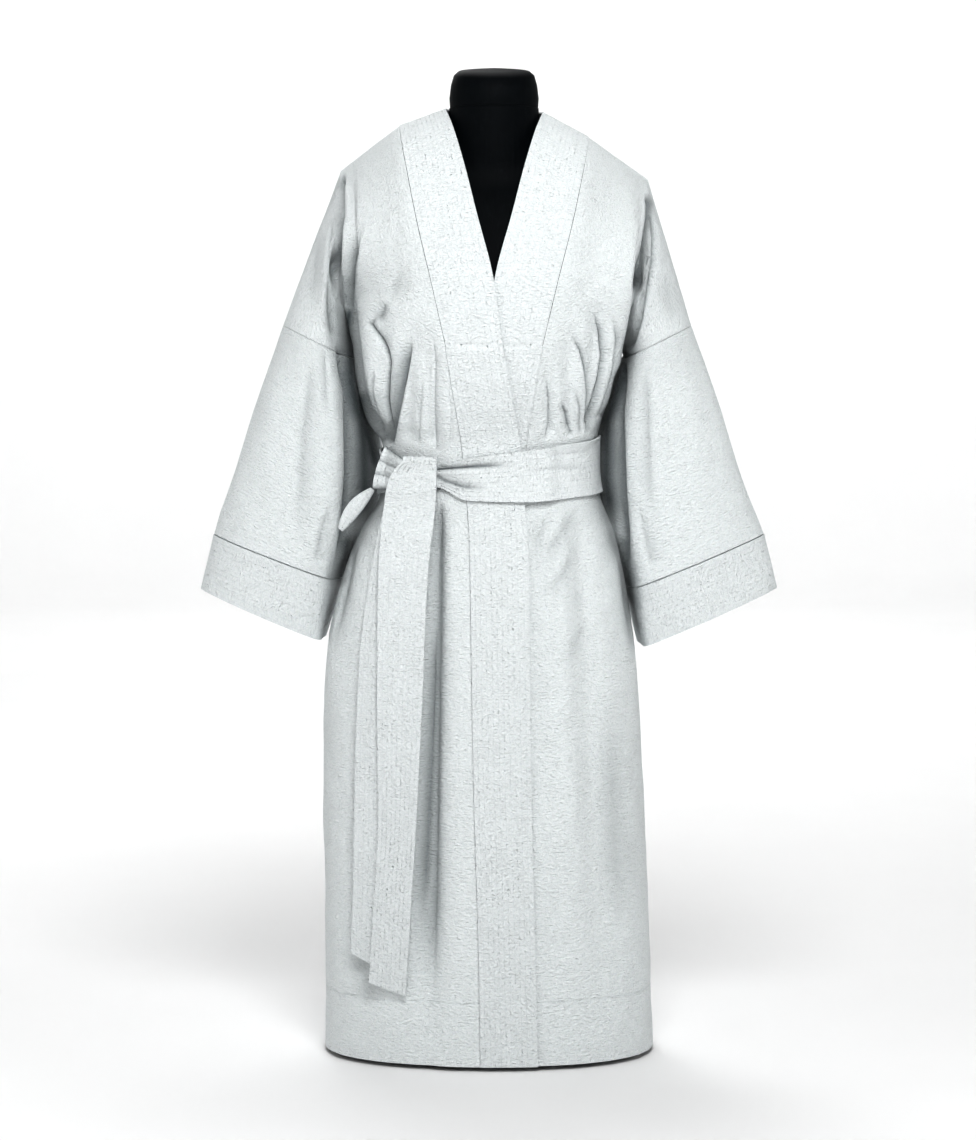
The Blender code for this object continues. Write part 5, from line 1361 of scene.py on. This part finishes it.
def cotton(name, colour, painted_shade, stitched):
    """Washed, crinkled cotton, with shade painted into the low parts of its relief, its grooves and its deep creases.
    stitched adds the quilting rows along the piece's length.
    """
    made, tree, principled = shader(name, 0.88, 0.10)
    link = tree.links.new
    where = tree.nodes.new("ShaderNodeTexCoord")
    place, cut = where.outputs["Object"], where.outputs["UV"]
    flat = node(tree, "ShaderNodeSeparateXYZ", {0: cut})
    across, along = flat.outputs[0], flat.outputs[1]
    warp = node(tree, "ShaderNodeTexWave", {"Vector": cut, "Scale": YARNS / 20}, bands_direction="X").outputs[1]
    weft = node(tree, "ShaderNodeTexWave", {"Vector": cut, "Scale": YARNS / 20}, bands_direction="Y").outputs[1]
    weave = maths(tree, "MULTIPLY", warp, weft)
    crepe_at = node(tree, "ShaderNodeMapping", {0: cut, 3: (230.0, 400.0, 1.0)}).outputs[0]
    puckers = noise(tree, crepe_at, 1.0, 3.0, distortion=0.35)
    wrinkles = noise(tree, place, 75.0, 2.0, "RIDGED_MULTIFRACTAL", 0.6)
    rumples = noise(tree, place, 38.0, 1.0, distortion=0.4)
    normal = bumped(tree, rumples, RUMPLE_RELIEF)
    normal = bumped(tree, wrinkles, WRINKLE_RELIEF, normal)
    normal = bumped(tree, puckers, PUCKER_RELIEF, normal)
    normal = bumped(tree, weave, WEAVE_RELIEF, normal)
    grain_at = node(tree, "ShaderNodeMapping", {0: cut, 3: (560.0, 700.0, 1.0)}).outputs[0]
    grain = noise(tree, grain_at, 1.0, 2.0)
    # Painted shade: the tone darkens towards the shade colour where the pucker and grain relief is low, which also
    # makes it uneven
    tone = maths(tree, "MULTIPLY_ADD", puckers, 0.9, maths(tree, "MULTIPLY_ADD", grain, 1.3, -0.55), clamp=True)
    tint = blended(tree, tone, painted_shade, colour)
    normal = bumped(tree, grain, GRAIN_RELIEF, normal)
    if stitched:
        rows = maths(tree, "DIVIDE", across, STITCH_ROWS)
        phase = maths(tree, "ABSOLUTE", maths(tree, "SUBTRACT", maths(tree, "FRACT", rows), 0.5))
        groove = near_line(tree, phase, 0.5, 0.16)
        thread = maths(tree, "FRACT", maths(tree, "DIVIDE", along, STITCH_LENGTH))
        thread = maths(tree, "MULTIPLY", near_line(tree, phase, 0.5, 0.06), near_line(tree, thread, 0.5, 0.42))
        gather_at = node(tree, "ShaderNodeMapping", {0: cut, 3: (150.0, 330.0, 1.0)}).outputs[0]
        gathers = noise(tree, gather_at, 1.0, 2.0, distortion=0.3)
        pulled = maths(tree, "MULTIPLY", gathers, maths(tree, "ADD", groove, 0.35))
        normal = bumped(tree, groove, -GROOVE_RELIEF, normal)
        normal = bumped(tree, pulled, GATHER_RELIEF, normal)
        normal = bumped(tree, thread, THREAD_RELIEF, normal)
        # Painted shade in the stitched grooves
        tint = blended(tree, maths(tree, "MULTIPLY", groove, 0.35), tint, painted_shade)
    else:
        height = node(tree, "ShaderNodeSeparateXYZ", {0: place}).outputs[2]
        hem = near_line(tree, height, HEM_Z + HEM_DEPTH, 0.0022)
        normal = bumped(tree, hem, -0.0006, normal)
        # Painted shade in the groove of the hem's stitching
        tint = blended(tree, maths(tree, "MULTIPLY", hem, 0.35), tint, painted_shade)
    # Painted shade from the mesh's hollow attribute: darker in deep creases, between pleats and between sleeve and body
    hollow = node(tree, "ShaderNodeAttribute", attribute_name="hollow").outputs["Fac"]
    tint = blended(tree, hollow, tint, PAINTED_CREASE_SHADE_COLOUR)
    link(tint, principled.inputs["Base Color"])
    link(normal, principled.inputs["Normal"])
    return made


def jersey():
    """Black stretch jersey on the dress form."""
    made, tree, principled = shader("black_jersey", 0.60, 0.0)
    principled.inputs["Specular IOR Level"].default_value = 0.06
    where = tree.nodes.new("ShaderNodeTexCoord").outputs["Object"]
    soft = noise(tree, where, 60.0, 3.0)
    ribs = node(tree, "ShaderNodeTexWave", {"Vector": where, "Scale": 45.0, "Distortion": 0.4}).outputs[1]
    tint = blended(tree, soft, (0.0012, 0.0022, 0.0032), (0.0030, 0.0046, 0.0060))
    tree.links.new(tint, principled.inputs["Base Color"])
    normal = bumped(tree, ribs, 0.00008, bumped(tree, soft, 0.0003))
    tree.links.new(normal, principled.inputs["Normal"])
    return made


def steel():
    """Black powder coat on the stand."""
    made, tree, principled = shader("black_steel", 0.42, 0.0)
    where = tree.nodes.new("ShaderNodeTexCoord").outputs["Object"]
    grain = noise(tree, where, 900.0, 2.0)
    tint = blended(tree, noise(tree, where, 14.0, 3.0), (0.018, 0.018, 0.019), (0.026, 0.026, 0.027))
    tree.links.new(tint, principled.inputs["Base Color"])
    tree.links.new(bumped(tree, grain, 0.00006), principled.inputs["Normal"])
    return made


def show(made, *nodes, slot):
    """Puts a piece on the part in place of its plain nodes."""
    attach(made, "root")
    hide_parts(*nodes)
    return made


def dress_robe():
    """Every cloth piece in place of its plain solid."""
    cloth = cotton("washed_cotton", COTTON, COTTON_PAINTED_SHADE, False)
    quilted = cotton("stitched_cotton", QUILTED, QUILTED_PAINTED_SHADE, True)
    covering = jersey()
    form = show(loft("form_body", form_rings(), covering), "dress_form", slot="black_jersey")
    show(loft("form_cap", cap_rings(), covering), "neck_cap", slot="black_jersey")
    pieces = {"back": make_back(cloth)}
    for side, word in ((RIGHT, "right"), (LEFT, "left")):
        pieces[f"front_{word}"] = make_front(side, word, cloth)
        pieces[f"band_{word}"] = make_band(side, word, quilted)
        pieces[f"sleeve_{word}"] = make_tube(
            f"sleeve_{word}_cloth", SLEEVE[side], side, SLEEVE_ROWS, PANEL_WALL, SEAM_GAP, cloth)
        pieces[f"cuff_{word}"] = make_tube(f"cuff_{word}_cloth", CUFF[side], side, CUFF_ROWS, QUILTED_WALL, CUFF_GAP, quilted)
    pieces["belt_waist"] = make_belt_waist(quilted)
    pieces["belt_tail_back"], pieces["belt_tail_front"] = make_tails(quilted)
    pieces["belt_knot"] = make_knot(quilted)
    pieces["belt_end"] = make_loose_end(quilted)
    for name, made in pieces.items():
        slot = "washed_cotton" if name.split("_")[0] in ("back", "front", "sleeve") else "stitched_cotton"
        show(made, name, slot=slot)


def carry_over(frame):
    """The stand keeps its own solids, with a finish."""
    finish = steel()
    for name in ("stand_pole", "stand_base"):
        kept = frame["nodes"][name]
        kept.data.materials.clear()
        kept.data.materials.append(finish)


def make_stage():
    """A pale round floor that curves up into a wall all round."""
    profile = [(0.0, 0.0)]
    for angle in np.linspace(0, math.pi / 2, 9):
        turned = (BACKDROP_CURVE * math.sin(angle), BACKDROP_CURVE * (1 - math.cos(angle)))
        profile.append((BACKDROP_START + turned[0], turned[1]))
    profile.append((BACKDROP_START + BACKDROP_CURVE, BACKDROP_HEIGHT))
    around = np.linspace(0, 2 * math.pi, BACKDROP_SIDES + 1)[:-1]
    vertices = [(r * math.cos(a), r * math.sin(a), z) for r, z in profile[1:] for a in around]
    cells = np.arange(len(vertices)).reshape(-1, BACKDROP_SIDES)
    turned = np.roll(cells, -1, axis=1)
    quads = np.stack([cells[:-1], cells[1:], turned[1:], turned[:-1]], axis=-1).reshape(-1, 4)
    faces = [cells[0].tolist()] + quads.tolist()
    paper, tree, principled = shader("pale_paper", 0.9, 0.0)
    where = tree.nodes.new("ShaderNodeTexCoord").outputs["Object"]
    tint = blended(tree, noise(tree, where, 3.0, 2.0), (0.90, 0.90, 0.90), (0.92, 0.92, 0.92))
    tree.links.new(tint, principled.inputs["Base Color"])
    mesh = bpy.data.meshes.new("backdrop")
    mesh.from_pydata(vertices, [], faces)
    mesh.materials.append(paper)
    mesh.shade_smooth()
    made = bpy.data.objects.new("backdrop", mesh)
    bpy.context.scene.collection.objects.link(made)


def aimed(made, place, target):
    """Places a lamp or the camera and turns it to a target."""
    made.location = place
    made.rotation_euler = (Vector(target) - Vector(place)).to_track_quat("-Z", "Y").to_euler()
    bpy.context.scene.collection.objects.link(made)
    return made


def make_lights():
    """A large soft key above the front, fills from the sides, and a pale room."""
    lamps = list(LAMPS)
    for k, angle in enumerate(np.linspace(0, 2 * math.pi, 5)[:-1]):
        towards = np.array((math.cos(angle), math.sin(angle), 1.0))
        lamps.append((f"wall_lamp_{k}", towards * WALL_LAMP_PLACE, towards * WALL_LAMP_TARGET, 3.0, WALL_LAMP_POWER))
    for name, place, target, size, power in lamps:
        lamp = bpy.data.lights.new(name, "AREA")
        lamp.shape, lamp.size, lamp.energy = "SQUARE", size, power
        aimed(bpy.data.objects.new(name, lamp), place, target)
    world = bpy.data.worlds.new("pale_room")
    world.use_nodes = True
    sky = world.node_tree.nodes["Background"]
    sky.inputs[0].default_value = (*ROOM_COLOUR, 1.0)
    sky.inputs[1].default_value = ROOM_STRENGTH
    bpy.context.scene.world = world
    bpy.context.scene.view_settings.view_transform = "Standard"
    bpy.context.scene.view_settings.gamma = 0.78


def make_camera():
    lens = bpy.data.cameras.new("camera")
    lens.lens, lens.sensor_width, lens.sensor_fit = 101.0, 36.0, "AUTO"
    lens.clip_start, lens.clip_end = 0.1, 30.0
    lens.dof.use_dof = False
    made = aimed(bpy.data.objects.new("camera", lens), (-0.0075, -4.0, 0.87), (-0.0075, 0.0, 0.6045))
    bpy.context.scene.camera = made


dress_robe()
carry_over(frame)
make_stage()
make_lights()
make_camera()
